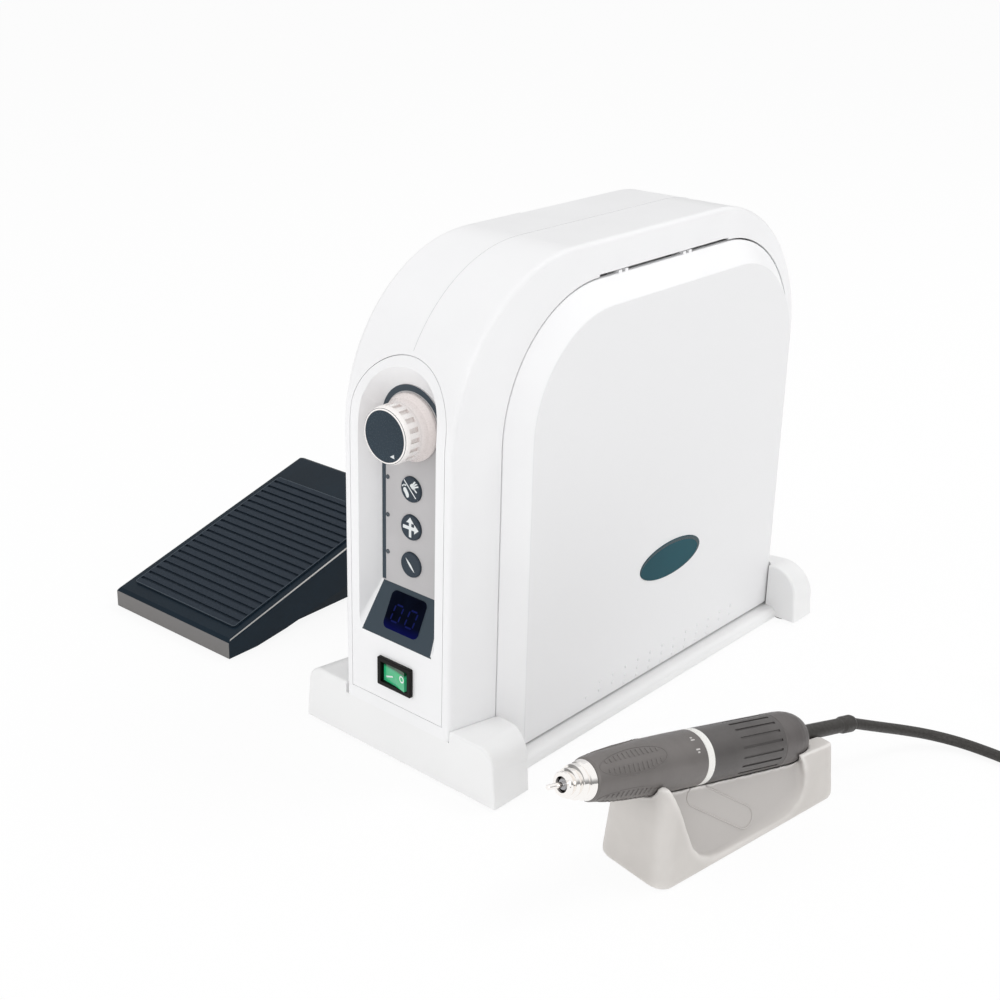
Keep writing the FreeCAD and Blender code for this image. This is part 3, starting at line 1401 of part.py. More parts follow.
flute_end = cell("flute_end", 47.6)
flute_width = cell("flute_width", 1.1)
flute_depth = cell("flute_depth", 0.6)
hand_axis = Vector(0.1704, 0.9664, -0.1925)
cord_radius = cell("cord_radius", 2.65)


def aimed(thing):
    """Set a piece drawn along Z on the handpiece's axis, nose towards the front."""
    middle = Vector(float(hand_x), float(hand_y), float(hand_z))
    thing.Placement = Placement(middle, Rotation(Vector(0, 0, 1), hand_axis))
    bind(thing, ".Placement.Base.x", hand_x)
    bind(thing, ".Placement.Base.y", hand_y)
    bind(thing, ".Placement.Base.z", hand_z)
    return thing


def lathe(points):
    """A solid turned about Z from a half profile of (radius, height) points."""
    solid = doc.addObject("Part::Revolution", "lathe")
    solid.Source = outline("XZ", 0, points)
    solid.Axis = Vector(0, 0, 1)
    solid.Base = Vector(0, 0, 0)
    solid.Angle = 360
    solid.Solid = True
    return solid


def dome(grow):
    """Round tail of the handpiece as points of a half profile."""
    points = []
    for count in range(6):
        turn = math.radians(14 + 60.0 * count / 5)
        radius = dome_core + (hand_radius - dome_core) * math.cos(turn)
        points.append((radius + grow, cap_end - dome_long + dome_long * math.sin(turn)))
    return points


def handpiece():
    front = grip_start - 0.3
    keep(aimed(fuse(lathe([
        (spindle_radius + 0.4, nose_end), (5.0, nose_end), (5.3, nose_end + 0.4), (5.3, nose_end + 1.6),
        (4.6, nose_end + 2.0), (4.6, nose_end + 2.5), (6.2, nose_end + 2.9), (6.2, nose_end + 4.6),
        (5.6, nose_end + 5.0), (5.6, nose_end + 5.6), (7.3, nose_end + 6.1), (7.5, nose_end + 8.2),
        (7.0, nose_end + 8.6), (7.0, nose_end + 9.1), (7.9, nose_end + 9.6), (8.5, front),
        (tube_radius, front), (tube_radius, front - 1.8), (spindle_radius + 0.4, front - 1.8),
    ]))), "nose_cone")
    keep(aimed(fuse(lathe([
        (tube_bore, front - 1.8), (tube_radius, front - 1.8), (tube_radius, ring_half),
        (tube_bore, ring_half),
    ]))), "chuck_tube")
    grip_end = -ring_half - 0.3
    keep(aimed(fuse(lathe([
        (tube_radius + 0.1, grip_start), (8.5, grip_start), (9.2, grip_start + 1.0),
        (10.4, -54), (11.2, -45), (12.0, -30), (12.25, -16), (hand_radius, grip_end),
        (tube_radius + 0.1, grip_end),
    ]))), "front_sleeve")
    keep(aimed(fuse(lathe([
        (tube_radius, -ring_half), (hand_radius, -ring_half), (hand_radius, ring_half),
        (tube_radius, ring_half),
    ]))), "index_ring")
    motor_housing()
    rear = housing_end
    keep(aimed(fuse(lathe([
        (housing_bore, rear), (hand_radius - 0.5, rear), (hand_radius + 0.05, rear + 0.7),
        (hand_radius, rear + 8), *dome(0), (5.2, cap_end), (3.6, cap_end), (3.6, cap_end - 3),
        (7.0, cap_end - 3), (housing_bore, rear + 8),
    ]))), "rear_cap")
    end = relief_end
    keep(aimed(fuse(lathe([
        (1.4, cap_end - 4.6), (5.4, cap_end - 4.6), (5.2, cap_end - 3.2), (3.55, cap_end - 3.0),
        (3.55, cap_end), (3.7, cap_end + 1.5), (3.5, end - 9.5), (4.1, end - 7.5), (4.15, end - 1.4),
        (3.7, end), (1.4, end),
    ]))), "strain_relief")
    collet = nose_end + 0.6
    keep(aimed(fuse(lathe([
        (bur_radius + 0.02, collet), (2.2, collet), (spindle_radius, collet + 1.2),
        (spindle_radius, 54), (size(0), 54), (size(0), -60), (bur_radius + 0.02, -60),
    ]))), "spindle")
    keep(aimed(fuse(lathe([
        (size(0), bur_end), (bur_radius - 0.3, bur_end), (bur_radius, bur_end + 0.4),
        (bur_radius, -60.5), (size(0), -60.5),
    ]))), "bur_shank")
    keep(aimed(fuse(disc_ring(spindle_radius, size(6.0), 14, 42))), "rotor_magnet")
    keep(aimed(fuse(disc_ring(size(6.8), housing_bore, 10, 46))), "stator_coil")
    rings = [
        disc_ring(spindle_radius + 0.03, tube_bore, -62, -57),
        disc_ring(spindle_radius + 0.03, tube_bore, -9, -4),
        disc_ring(spindle_radius + 0.03, housing_bore, 48, 52),
    ]
    keep(aimed(group(*rings)), "spindle_bearings")


def disc_ring(inner, outer, low, high):
    return lathe([(inner, low), (outer, low), (outer, high), (inner, high)])


def motor_housing():
    """Rear half of the handpiece, with flutes round its tail end."""
    body = doc.addObject("PartDesign::Body", "housing_body")
    barrel = body.newObject("PartDesign::Revolution", "housing_barrel")
    profile = outline("XZ", 0, [
        (tube_radius + 0.05, ring_half), (hand_radius, ring_half), (hand_radius, housing_end),
        (housing_bore, housing_end), (housing_bore, ring_half + 4), (spindle_radius + 0.4, ring_half + 4),
        (spindle_radius + 0.4, ring_half + 1), (tube_radius + 0.05, ring_half + 1),
    ], body)
    barrel.Profile = profile
    barrel.ReferenceAxis = (profile, ["V_Axis"])
    barrel.Angle = 360
    doc.recompute()
    flute = body.newObject("PartDesign::Pocket", "housing_flute")
    half = flute_width / 2
    flute.Profile = outline("YZ", hand_radius - flute_depth,
                            rectangle(-half, flute_start, half, flute_end), body)
    bind(flute, "Length", flute_depth + 2)
    flute.Reversed = True
    ring = body.newObject("PartDesign::PolarPattern", "housing_flutes")
    ring.Originals = [flute]
    for feature in body.Origin.OriginFeatures:
        if feature.Role == "Z_Axis":
            ring.Axis = (feature, [""])
    ring.Angle = 360
    bind(ring, "Occurrences", flute_count)
    body.Tip = ring
    doc.recompute()
    keep(aimed(body), "motor_housing")


# Cradle

cradle_x = cell("cradle_x", 133.8, "front end of the cradle's middle line")
cradle_y = cell("cradle_y", -134.5)
cradle_yaw = cell("cradle_yaw", 10)
cradle_long = cell("cradle_long", 122)
cradle_front_half = cell("cradle_front_half", 20.5)
cradle_rear_half = cell("cradle_rear_half", 14.2)
cradle_front_high = cell("cradle_front_high", 47)
cradle_rear_high = cell("cradle_rear_high", 29)
cradle_draft = cell("cradle_draft", 0.07, "lean of the cradle's sides")
cradle_bend = cell("cradle_bend", 9.5, "round over the cradle's rear end")
groove_gap = cell("groove_gap", 0.3, "clearance between cradle and handpiece")


def plan_wire(high):
    """Round-cornered plan of the cradle at one height, inside its draft."""
    shrink = float(cradle_draft) * float(high)
    low = shrink
    end = float(cradle_long) - shrink
    near = float(cradle_front_half) - shrink
    far = float(cradle_rear_half) - shrink
    corners = [(-near, low), (near, low), (far, end), (-far, end)]
    edges = []
    starts = []
    for index, corner in enumerate(corners):
        radius = 9.0 if corner[1] == end else 6.0
        here = Vector(corner[0], corner[1], float(high))
        before = corners[index - 1]
        after = corners[(index + 1) % 4]
        back = Vector(before[0] - corner[0], before[1] - corner[1], 0).normalize()
        ahead = Vector(after[0] - corner[0], after[1] - corner[1], 0).normalize()
        half = math.acos(max(-1.0, min(1.0, back.dot(ahead)))) / 2
        run = radius / math.tan(half)
        middle = here + (back + ahead).normalize() * (radius / math.sin(half) - radius)
        starts.append((here + back * run, middle, here + ahead * run))
    for index, (first, middle, last) in enumerate(starts):
        edges.append(Part.Arc(first, middle, last).toShape())
        following = starts[(index + 1) % 4][0]
        edges.append(Part.LineSegment(last, following).toShape())
    return Part.Wire(edges)


def cradle():
    """Rest for the handpiece: two saddles, scooped sides and a groove along the top."""
    block = doc.addObject("Part::Feature", "cradle_block")
    block.Shape = loft(plan_wire(0), plan_wire(cradle_front_high))
    bend_y = cradle_long - cradle_bend - 0.7
    bend_z = cradle_rear_high - cradle_bend
    top = prism("YZ", [
        (-1, -1), (cradle_long + 1, -1), (cradle_long + 1, bend_z),
        (bend_y + cradle_bend, bend_z, (cradle_bend, bend_y, bend_z, 1)), (bend_y, cradle_rear_high),
        (cradle_long - 31, cradle_rear_high + 2), (cradle_long - 42, 34), (20, 43),
        (12, cradle_front_high - 0.5),
        (4, cradle_front_high), (1, cradle_front_high - 1.5), (-1, cradle_front_high - 7),
    ], -30, 30)
    solid = common(block, top)
    scoops = []
    end = cradle_long
    view = [
        (5, 50), (12.5, 36), (18.5, 20), (21.5, 13), (26, 8), (32, 4.9), (38, 3.9), (end - 44, 3.6),
        (end - 36, 4.6), (end - 30, 7.6), (end - 26.2, 12.5), (end - 25.2, 19), (end - 27, 26),
        (end - 32, 34), (end - 38, 50),
    ]
    for side in (-1, 1):
        lean = [(side * 14.6, 2), (side * 40, 2), (side * 40, 60), (side * 5.5, 60), (side * 7.6, 31)]
        if side < 0:
            lean = list(reversed(lean))
        scoops.append(common(prism("YZ", view, -40, 40), prism("XZ", lean, 0, 110)))
    solid = group(cut(solid, *scoops))
    solid.Placement = Placement(Vector(float(cradle_x), float(cradle_y), 0),
                                Rotation(Vector(0, 0, 1), -float(cradle_yaw)))
    bind(solid, ".Placement.Base.x", cradle_x)
    bind(solid, ".Placement.Base.y", cradle_y)
    gap = groove_gap
    groove = lathe([
        (size(0), -72), (9.4 + gap, -72), (8.8 + gap, grip_start), (10.5 + gap, -54), (11.3 + gap, -45),
        (12.05 + gap, -30), (hand_radius + gap, -14), (hand_radius + gap, housing_end + 8),
        *dome(gap), (dome_core + gap, cap_end + gap), (4.4 + gap, cap_end + 2), (4.4 + gap, cap_end + 40),
        (size(0), cap_end + 40),
    ])
    keep(cut(solid, aimed(group(groove))), "cradle")


# Cord with its plug

coil_x = cell("coil_x", 258, "middle of the coiled cord")
coil_y = cell("coil_y", 100)
coil_radius = cell("coil_radius", 38.6, "outer turn of the coil")
coil_pitch = cell("coil_pitch", 5.75)
coil_step = cell("coil_step", 0.9, "how much tighter the coil's climbing half turn is")
cord_low = cell("cord_low", 2.7, "height of the cord's middle on the floor")
plug_run = cell("plug_run", 28, "cord between the coil and the plug")
plug_z = cell("plug_z", 8.45)
COIL_TURNS = 6


def coil_nodes():
    """Half-turn points: in to the middle, up one layer, and out again."""
    radius = float(coil_radius)
    pitch = float(coil_pitch)
    nodes = []
    for half in range(2 * COIL_TURNS + 2):
        inward = min(half, 2 * COIL_TURNS + 1 - half)
        here = radius - inward * pitch / 2
        if inward == COIL_TURNS:
            here = here - float(coil_step)
        side = -1 if half % 2 == 0 else 1
        z = float(cord_low) + (0 if half <= COIL_TURNS else pitch)
        point = Vector(float(coil_x), float(coil_y) + side * here, z)
        nodes.append((point, Vector(-side, 0, 0)))
    return nodes


def handpiece_cord():
    end = Vector(float(hand_x), float(hand_y), float(hand_z)) + hand_axis * float(relief_end)
    nodes = [(end, hand_axis)]
    route = [
        (165.4, 25.5, 16.2), (170.2, 39.6, 10.6), (178.9, 52.6, 6.0), (192.5, 60.4, 3.6),
        (210.0, 62.4, 2.9), (232.0, 61.6, 2.72),
    ]
    points = [end] + [Vector(*point) for point in route] + [coil_nodes()[0][0]]
    for index in range(1, len(points) - 1):
        nodes.append((points[index], points[index + 1] - points[index - 1]))
    nodes = nodes + coil_nodes()
    last = nodes[-1][0]
    nodes.append((last + Vector(-float(plug_run), 0, 0), Vector(-1, 0, 0)))
    spine = path(nodes)
    cord = tube(nodes, cord_radius)
    plain("handpiece_cord", cord)
    length = spine.Length
    section = math.pi * float(cord_radius) ** 2
    print("cord length", round(length, 1))
    print("cord volume against section by length", round(cord.Volume / (section * length), 4))
    radii = [edge.Curve.Radius for edge in spine.Edges if hasattr(edge.Curve, "Radius")]
    print("tightest cord bend", round(min(radii), 1))
    print("least gap of the coil to itself", round(coil_gap(), 2))
    plug(last + Vector(-float(plug_run), 0, 0))


def coil_gap():
    """Least distance between the surfaces of turns that are not neighbours in line."""
    spine = path(coil_nodes())
    points = spine.discretize(Distance=2.0)
    reach = 2 * float(coil_radius)
    least = reach
    for first in range(len(points)):
        for second in range(first + 12, len(points)):
            apart = points[first].distanceToPoint(points[second])
            least = min(least, apart)
    return least - 2 * float(cord_radius)


def plug(start):
    """Round connector at the end of the cord, lying on the floor; it fits the rear socket."""
    shell = socket_bore - 0.1
    grip = plug_z - 0.15
    solid = lathe([
        (size(0), 0), (3.4, 0), (3.9, 1.0), (4.6, 12), (7.2, 14.5), (grip, 15), (grip, 34),
        (shell, 34.6), (shell, 44), (shell - 0.5, 44), (shell - 0.5, 36), (size(0), 36),
    ])
    pins = []
    for count in range(5):
        turn = math.radians(45 * count)
        pins.append(disc("XY", 4.0 * math.cos(turn), 4.0 * math.sin(turn), 0.6, 35.5, 43))
    whole = fuse(solid, *pins)
    whole.Placement = Placement(Vector(start.x, start.y, float(plug_z)), Rotation(Vector(0, 1, 0), -90))
    keep(whole, "cord_plug")


# Build, check and write the pieces

left_shell()
right_shell()
casing_screws()
knee_plate()
hinge_pins()
torsion_springs()
base_stand()
front_fascia()
control_overlay()
display()
lamps()
push_buttons()
speed_knob()
power_switch()
inner_parts()
rear_fittings()
pedal()
handpiece()
cradle()
handpiece_cord()
doc.recompute()

for thing in doc.Objects:
    if "Invalid" in thing.State or "Error" in thing.State:
        raise RuntimeError(thing.Label + " did not build")

os.makedirs("parts", exist_ok=True)
facets = 0
for thing in PARTS:
    shape = thing.Shape
    if shape.isNull() or not shape.isValid() or not shape.Solids:
        raise RuntimeError(thing.Label + " has no sound solid")
    shape.exportStep("parts/" + thing.Label + ".step")
    limits = shape.BoundBox
    count = len(shape.tessellate(0.1)[1])
    facets = facets + count
    print("%-18s solids %2d  x %7.1f %7.1f  y %7.1f %7.1f  z %6.1f %6.1f  facets %d" % (
        thing.Label, len(shape.Solids), limits.XMin, limits.XMax, limits.YMin, limits.YMax,
        limits.ZMin, limits.ZMax, count))
print("pieces", len(PARTS), "facets", facets)
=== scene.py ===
import bmesh
import bpy
import json
import math
from mathutils import Matrix, Vector
from mathutils.bvhtree import BVHTree


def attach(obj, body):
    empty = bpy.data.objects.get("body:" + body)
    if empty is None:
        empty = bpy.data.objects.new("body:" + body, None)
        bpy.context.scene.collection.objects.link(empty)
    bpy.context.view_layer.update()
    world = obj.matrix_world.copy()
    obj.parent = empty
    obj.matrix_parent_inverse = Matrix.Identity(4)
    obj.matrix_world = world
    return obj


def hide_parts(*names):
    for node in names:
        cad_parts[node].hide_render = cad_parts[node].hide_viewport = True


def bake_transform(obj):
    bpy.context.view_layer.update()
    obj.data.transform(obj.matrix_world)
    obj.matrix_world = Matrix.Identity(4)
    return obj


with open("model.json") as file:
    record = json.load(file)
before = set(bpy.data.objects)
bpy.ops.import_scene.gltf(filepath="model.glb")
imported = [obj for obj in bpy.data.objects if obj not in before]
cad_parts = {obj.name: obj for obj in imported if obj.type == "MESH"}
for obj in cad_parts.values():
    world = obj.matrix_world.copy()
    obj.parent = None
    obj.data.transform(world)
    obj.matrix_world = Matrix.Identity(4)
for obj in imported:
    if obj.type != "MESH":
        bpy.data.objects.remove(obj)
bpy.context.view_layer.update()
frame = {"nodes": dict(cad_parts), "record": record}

nodes = frame["nodes"]
slot_of_node = {part["node"]: part["material_slot"] for part in frame["record"]["subparts"]}
MM = 0.001


def point(x, y, z):
    """A place given in millimetres, as the CAD model has it."""
    return Vector((x * MM, y * MM, z * MM))


def link(thing):
    """Put an object into the scene."""
    bpy.context.scene.collection.objects.link(thing)


def empty_tree(owner):
    """The node tree of a world or material, with nothing in it yet."""
    owner.use_nodes = True
    owner.node_tree.nodes.clear()
    return owner.node_tree


# Camera, light and floor

CAMERA_PLACE = point(453.013, -605.071, 405.901)
CAMERA_AZIMUTH = math.radians(43.324)
CAMERA_PITCH = math.radians(21.018)
CAMERA_ROLL = math.radians(0.30)
CAMERA_LENS = 55.93
CAMERA_SHIFT = (0.0807, -0.0408)


def make_camera():
    """The photograph's camera: its place, where it looks and how far its lens is shifted."""
    ahead = Vector((-math.sin(CAMERA_AZIMUTH) * math.cos(CAMERA_PITCH),
                    math.cos(CAMERA_AZIMUTH) * math.cos(CAMERA_PITCH), -math.sin(CAMERA_PITCH)))
    level = Vector((math.cos(CAMERA_AZIMUTH), math.sin(CAMERA_AZIMUTH), 0))
    upright = level.cross(ahead)
    right = level * math.cos(CAMERA_ROLL) + upright * math.sin(CAMERA_ROLL)
    up = upright * math.cos(CAMERA_ROLL) - level * math.sin(CAMERA_ROLL)
    data = bpy.data.cameras.new("camera")
    data.lens = CAMERA_LENS
    data.sensor_width = 36.0
    data.shift_x, data.shift_y = CAMERA_SHIFT
    data.clip_start = 0.05
    data.clip_end = 20.0
    camera = bpy.data.objects.new("camera", data)
    turned = Matrix((right, up, -ahead)).transposed().to_4x4()
    camera.matrix_world = Matrix.Translation(CAMERA_PLACE) @ turned
    link(camera)
    bpy.context.scene.camera = camera


def add_lamp(name, place, target, size, power, mirrored=True):
    """A round soft lamp; one that isn't mirrored lights a glossy surface without a bright spot."""
    data = bpy.data.lights.new(name, "AREA")
    data.shape = "DISK"
    data.size = size
    data.energy = power
    lamp = bpy.data.objects.new(name, data)
    lamp.location = place
    lamp.rotation_mode = "QUATERNION"
    lamp.rotation_quaternion = (Vector(target) - Vector(place)).to_track_quat("-Z", "Y")
    lamp.visible_glossy = mirrored
    link(lamp)


def seen_directly(tree):
    """1 where the camera, a glossy or a clear surface looks straight at it, otherwise 0."""
    rays = add_node(tree, "ShaderNodeLightPath")
    direct = add_node(tree, "ShaderNodeMath", {"operation": "MAXIMUM"},
                      {0: rays.outputs["Is Camera Ray"], 1: rays.outputs["Is Glossy Ray"]})
    both = add_node(tree, "ShaderNodeMath", {"operation": "MAXIMUM"},
                    {0: direct.outputs[0], 1: rays.outputs["Is Transmission Ray"]})
    return both.outputs[0]


def flag_level(tree):
    """A reflection shows dark studio flags low round the table and white above them."""
    where = add_node(tree, "ShaderNodeTexCoord")
    parts = add_node(tree, "ShaderNodeSeparateXYZ", {}, {0: where.outputs["Generated"]})
    level = add_node(tree, "ShaderNodeMapRange",
                     {"From Min": 0.10, "From Max": 0.50, "To Min": 0.28, "To Max": 1.0,
                      "interpolation_type": "SMOOTHSTEP"}, {"Value": parts.outputs["Z"]})
    return level.outputs[0]


def make_world():
    """Soft white surroundings: plain white to look at, with dark flags for what is glossy."""
    world = bpy.data.worlds.new("studio")
    tree = empty_tree(world)
    soft = add_node(tree, "ShaderNodeBackground", {"Color": linear("#ffffff"), "Strength": 0.73})
    plain = add_node(tree, "ShaderNodeBackground", {"Color": linear("#ffffff"), "Strength": 1.0})
    flags = add_node(tree, "ShaderNodeBackground", {"Color": linear("#ffffff")},
                     {"Strength": flag_level(tree)})
    seen = add_node(tree, "ShaderNodeMixShader", {},
                    {0: seen_directly(tree), 1: soft.outputs[0], 2: plain.outputs[0]})
    rays = add_node(tree, "ShaderNodeLightPath")
    mix = add_node(tree, "ShaderNodeMixShader", {},
                   {0: rays.outputs["Is Glossy Ray"], 1: seen.outputs[0], 2: flags.outputs[0]})
    add_node(tree, "ShaderNodeOutputWorld", {}, {"Surface": mix.outputs[0]})
    bpy.context.scene.world = world


def make_stage():
    """The white table, which keeps a faint shadow, and four soft lamps round it."""
    reach = 6.0
    drop = -0.0002
    corners = [(-reach, -reach, drop), (reach, -reach, drop), (reach, reach, drop), (-reach, reach, drop)]
    mesh = bpy.data.meshes.new("table_top")
    mesh.from_pydata(corners, [], [(0, 1, 2, 3)])
    floor = bpy.data.objects.new("table_top", mesh)
    link(floor)
    mesh.materials.append(white_table())
    middle = (0.02, 0.0, 0.1)
    add_lamp("key", (1.9, -1.8, 1.2), middle, 1.6, 8.5)
    add_lamp("side", (1.5, 0.5, 0.5), middle, 1.0, 1.6, mirrored=False)
    add_lamp("fill", (-0.7, -2.0, 0.9), middle, 1.5, 9.0, mirrored=False)
    add_lamp("top", (0.6, 0.8, 1.8), middle, 0.9, 9.0, mirrored=False)


# Places and sizes that finishes and pieces share, given in the CAD model's millimetres

PEDAL_PLACE = point(-187.85, 0, 0)
PEDAL_YAW = math.radians(1.4)
PEDAL_HALF = 48.65
PEDAL_FRONT = -131.5
PEDAL_LIP = 11.7
PEDAL_RISE = 0.2708
TO_PEDAL = Matrix.Rotation(-PEDAL_YAW, 4, "Z") @ Matrix.Translation(-PEDAL_PLACE)
PLATE_X = 43.0
KNOB_Z = 169.1
KNOB_Y = -147.3
CRADLE_PLACE = point(133.8, -134.5, 0)
CRADLE_TURN = Matrix.Rotation(math.radians(-10), 4, "Z")
CRADLE_HALF = 20.5
CRADLE_TAPER = 0.0516
CRADLE_DRAFT = 0.07
TO_CRADLE = CRADLE_TURN.inverted() @ Matrix.Translation(-CRADLE_PLACE)
RING_PLACE = point(139.3, -100.0, 44.3)
HAND_LINE = Vector((0.1704, 0.9664, -0.1925))
HAND_AXIS = HAND_LINE.normalized()
HAND_SIDE = HAND_AXIS.cross(Vector((0, 0, 1))).normalized()
HAND_TOP = HAND_SIDE.cross(HAND_AXIS)


# Finishes

def linear(code):
    """Turn an sRGB hex colour into the linear values that a shader takes."""
    channels = []
    for start in (1, 3, 5):
        value = int(code[start:start + 2], 16) / 255
        channels.append(value / 12.92 if value <= 0.04045 else ((value + 0.055) / 1.055) ** 2.4)
    return (*channels, 1.0)


def add_node(tree, kind, settings=None, links=None):
    """Add one node, set its properties or sockets, and link other nodes' outputs to it."""
    node = tree.nodes.new(kind)
    for name, value in (settings or {}).items():
        if isinstance(name, str) and hasattr(node, name):
            setattr(node, name, value)
        else:
            node.inputs[name].default_value = value
    for name, source in (links or {}).items():
        tree.links.new(source, node.inputs[name])
    return node


def new_finish(name, **sockets):
    """A material with one Principled shader; the sockets are named with _ for a space."""
    material = bpy.data.materials.new(name)
    tree = empty_tree(material)
    settings = {socket.replace("_", " "): value for socket, value in sockets.items()}
    shader = add_node(tree, "ShaderNodeBsdfPrincipled", settings)
    add_node(tree, "ShaderNodeOutputMaterial", {}, {"Surface": shader.outputs[0]})
    material.diffuse_color = settings.get("Base Color", (0.8, 0.8, 0.8, 1.0))
    return material, tree, shader


def axes_of(tree, turned=None):
    """The piece's own X, Y and Z, moved and turned first where a matrix is given."""
    source = add_node(tree, "ShaderNodeTexCoord").outputs["Object"]
    if turned is not None:
        moved = {"Location": turned.translation, "Rotation": turned.to_euler()}
        source = add_node(tree, "ShaderNodeMapping", moved, {"Vector": source}).outputs[0]
    return add_node(tree, "ShaderNodeSeparateXYZ", {}, {0: source}).outputs[:3]


def noise_of(tree, grain, detail=2.0, stretch=None):
    """Noise whose lumps are about grain millimetres across, on the piece's own coordinates."""
    source = add_node(tree, "ShaderNodeTexCoord").outputs["Object"]
    if stretch is not None:
        source = add_node(tree, "ShaderNodeMapping", {"Scale": stretch}, {"Vector": source}).outputs[0]
    return add_node(tree, "ShaderNodeTexNoise", {"Scale": 1 / (grain * MM), "Detail": detail},
                    {"Vector": source})


def tint(tree, shader, colour, other, noise):
    """Let the colour drift between two shades with the noise."""
    share = add_node(tree, "ShaderNodeMapRange", {"From Min": 0.35, "From Max": 0.65},
                     {"Value": noise.outputs[0]})
    mix = add_node(tree, "ShaderNodeMixRGB", {"Color1": linear(colour), "Color2": linear(other)},
                   {"Fac": share.outputs[0]})
    tree.links.new(mix.outputs[0], shader.inputs["Base Color"])


def cover(tree, shader, colour, mask):
    """Lay another colour over the finish where the mask is 1, and give the new colour's output."""
    below = shader.inputs["Base Color"].links[0].from_socket
    mix = add_node(tree, "ShaderNodeMixRGB", {"Color2": linear(colour)}, {"Fac": mask, "Color1": below})
    tree.links.new(mix.outputs[0], shader.inputs["Base Color"])
    return mix.outputs[0]


def roughen(tree, shader, smoothest, roughest, noise):
    """Let the roughness drift between two values with the noise."""
    drift = add_node(tree, "ShaderNodeMapRange",
                     {"From Min": 0.3, "From Max": 0.7, "To Min": smoothest, "To Max": roughest},
                     {"Value": noise.outputs[0]})
    tree.links.new(drift.outputs[0], shader.inputs["Roughness"])


def emboss(tree, shader, height, depth):
    """Raise the surface by the pattern, depth millimetres between its low and high."""
    bump = add_node(tree, "ShaderNodeBump", {"Distance": depth * MM}, {"Height": height})
    tree.links.new(bump.outputs[0], shader.inputs["Normal"])


def grained(name, colours, grain, rough, depth, patch=None, stretch=None, **sockets):
    """A finish with one fine grain, given as its size in millimetres and its detail, which drives
    the roughness from its low to its high and is raised by depth millimetres. Of two colours the
    second drifts in by the grain, or by a patch of another size and detail."""
    material, tree, shader = new_finish(name, Base_Color=linear(colours[0]), **sockets)
    fine = noise_of(tree, *grain, stretch)
    if len(colours) == 2:
        tint(tree, shader, *colours, noise_of(tree, *patch) if patch else fine)
    roughen(tree, shader, *rough, fine)
    emboss(tree, shader, fine.outputs[0], depth)
    return material


def moulded_plastic(name, colour, shade, smooth, rough, grain, depth, gloss=0.5):
    """Injection-moulded ABS: even colour, a fine spark-eroded grain and a soft broad highlight.
    The real grain is about 0.2 mm; it is drawn coarser, so that it shows."""
    return grained(name, (colour, shade), (grain, 3.0), (smooth, rough), depth, (60, 3.0),
                   IOR=1.53, Specular_IOR_Level=gloss)


def knee_plate_moulding():
    """The knee plate's white ABS, with painted shade on its flat face: the face is coloured a touch
    darker than the bevel round it, which catches more of the light."""
    material = moulded_plastic("knee_plate_white", "#f8f8f9", "#f5f5f6", 0.32, 0.40, 0.8, 0.008)
    tree = material.node_tree
    # painted shade: the flat face of the plate is coloured darker than its bevel
    face = add_node(tree, "ShaderNodeMapRange",
                    {"From Min": (PLATE_X - 0.4) * MM, "From Max": (PLATE_X - 0.1) * MM},
                    {"Value": axes_of(tree)[0]})
    cover(tree, tree.nodes["Principled BSDF"], "#eaeaeb", face.outputs[0])
    return material


def printed_sheet():
    """Polycarbonate membrane, printed grey on its back: flat colour under a satin face."""
    return grained("printed_sheet", ("#bbb9ba", "#b5b3b4"), (0.5, 2.0), (0.32, 0.42), 0.01, (25, 2.0),
                   IOR=1.58)


def ink(name, colour, rough=0.45, glow=0.0, gloss=0.5):
    """Screen-printed ink: thin, dense, with a slightly uneven edge to its gloss."""
    return grained(name, (colour,), (0.6, 2.0), (rough - 0.06, rough + 0.06), 0.008, IOR=1.5,
                   Emission_Color=linear(colour), Emission_Strength=glow, Specular_IOR_Level=gloss)


def smoked_window():
    """Smoked acrylic: nearly black, very smooth, with the faint waviness of moulded sheet and a
    blue glow of the lamps behind it along its lower edge."""
    material, tree, shader = new_finish("smoked_window", Base_Color=linear("#03050a"), IOR=1.49,
                                        Roughness=0.08, Specular_IOR_Level=0.04,
                                        Emission_Color=linear("#1a1f9c"))
    wave = noise_of(tree, 9, 1.0)
    tint(tree, shader, "#02040a", "#050a16", wave)
    emboss(tree, shader, wave.outputs[0], 0.02)
    glow = add_node(tree, "ShaderNodeMapRange",
                    {"From Min": 67.6 * MM, "From Max": 73.0 * MM, "To Min": 0.2, "To Max": 0.008},
                    {"Value": axes_of(tree)[2]})
    tree.links.new(glow.outputs[0], shader.inputs["Emission Strength"])
    return material


def soft_key():
    """Silicone key top: dark, dull, with a fine velvet grain."""
    return grained("soft_key", ("#353f49", "#2f3943"), (0.45, 3.0), (0.48, 0.62), 0.02,
                   IOR=1.43, Specular_IOR_Level=0.3)


def lamp_lens():
    """Clear dyed lens over a small lamp that isn't lit: its skin is glossy."""
    material, tree, shader = new_finish("lamp_lens", Base_Color=linear("#39434b"), IOR=1.49,
                                        Coat_Weight=0.5, Coat_Roughness=0.05)
    roughen(tree, shader, 0.12, 0.22, noise_of(tree, 3.0))
    return material


def lamp_rocker():
    """Green rocker cap: clear dyed plastic, lit unevenly by the lamp under it; a painted bezel shadow
    darkens its top.
    """
    material, tree, shader = new_finish("rocker_green", Base_Color=linear("#0d9c60"), IOR=1.49,
                                        Coat_Weight=0.4, Coat_Roughness=0.06, Emission_Strength=0.34)
    cloud = noise_of(tree, 5.0)
    tint(tree, shader, "#0d9c60", "#3a9a70", cloud)
    # painted shadow of the bezel: the top of the cap is coloured dark green, in its glow too
    bezel_shadow = add_node(tree, "ShaderNodeMapRange", {"From Min": 48.9 * MM, "From Max": 50.2 * MM},
                    {"Value": axes_of(tree)[2]})
    colour = cover(tree, shader, "#033a20", bezel_shadow.outputs[0])
    tree.links.new(colour, shader.inputs["Emission Color"])
    roughen(tree, shader, 0.12, 0.22, cloud)
    return material


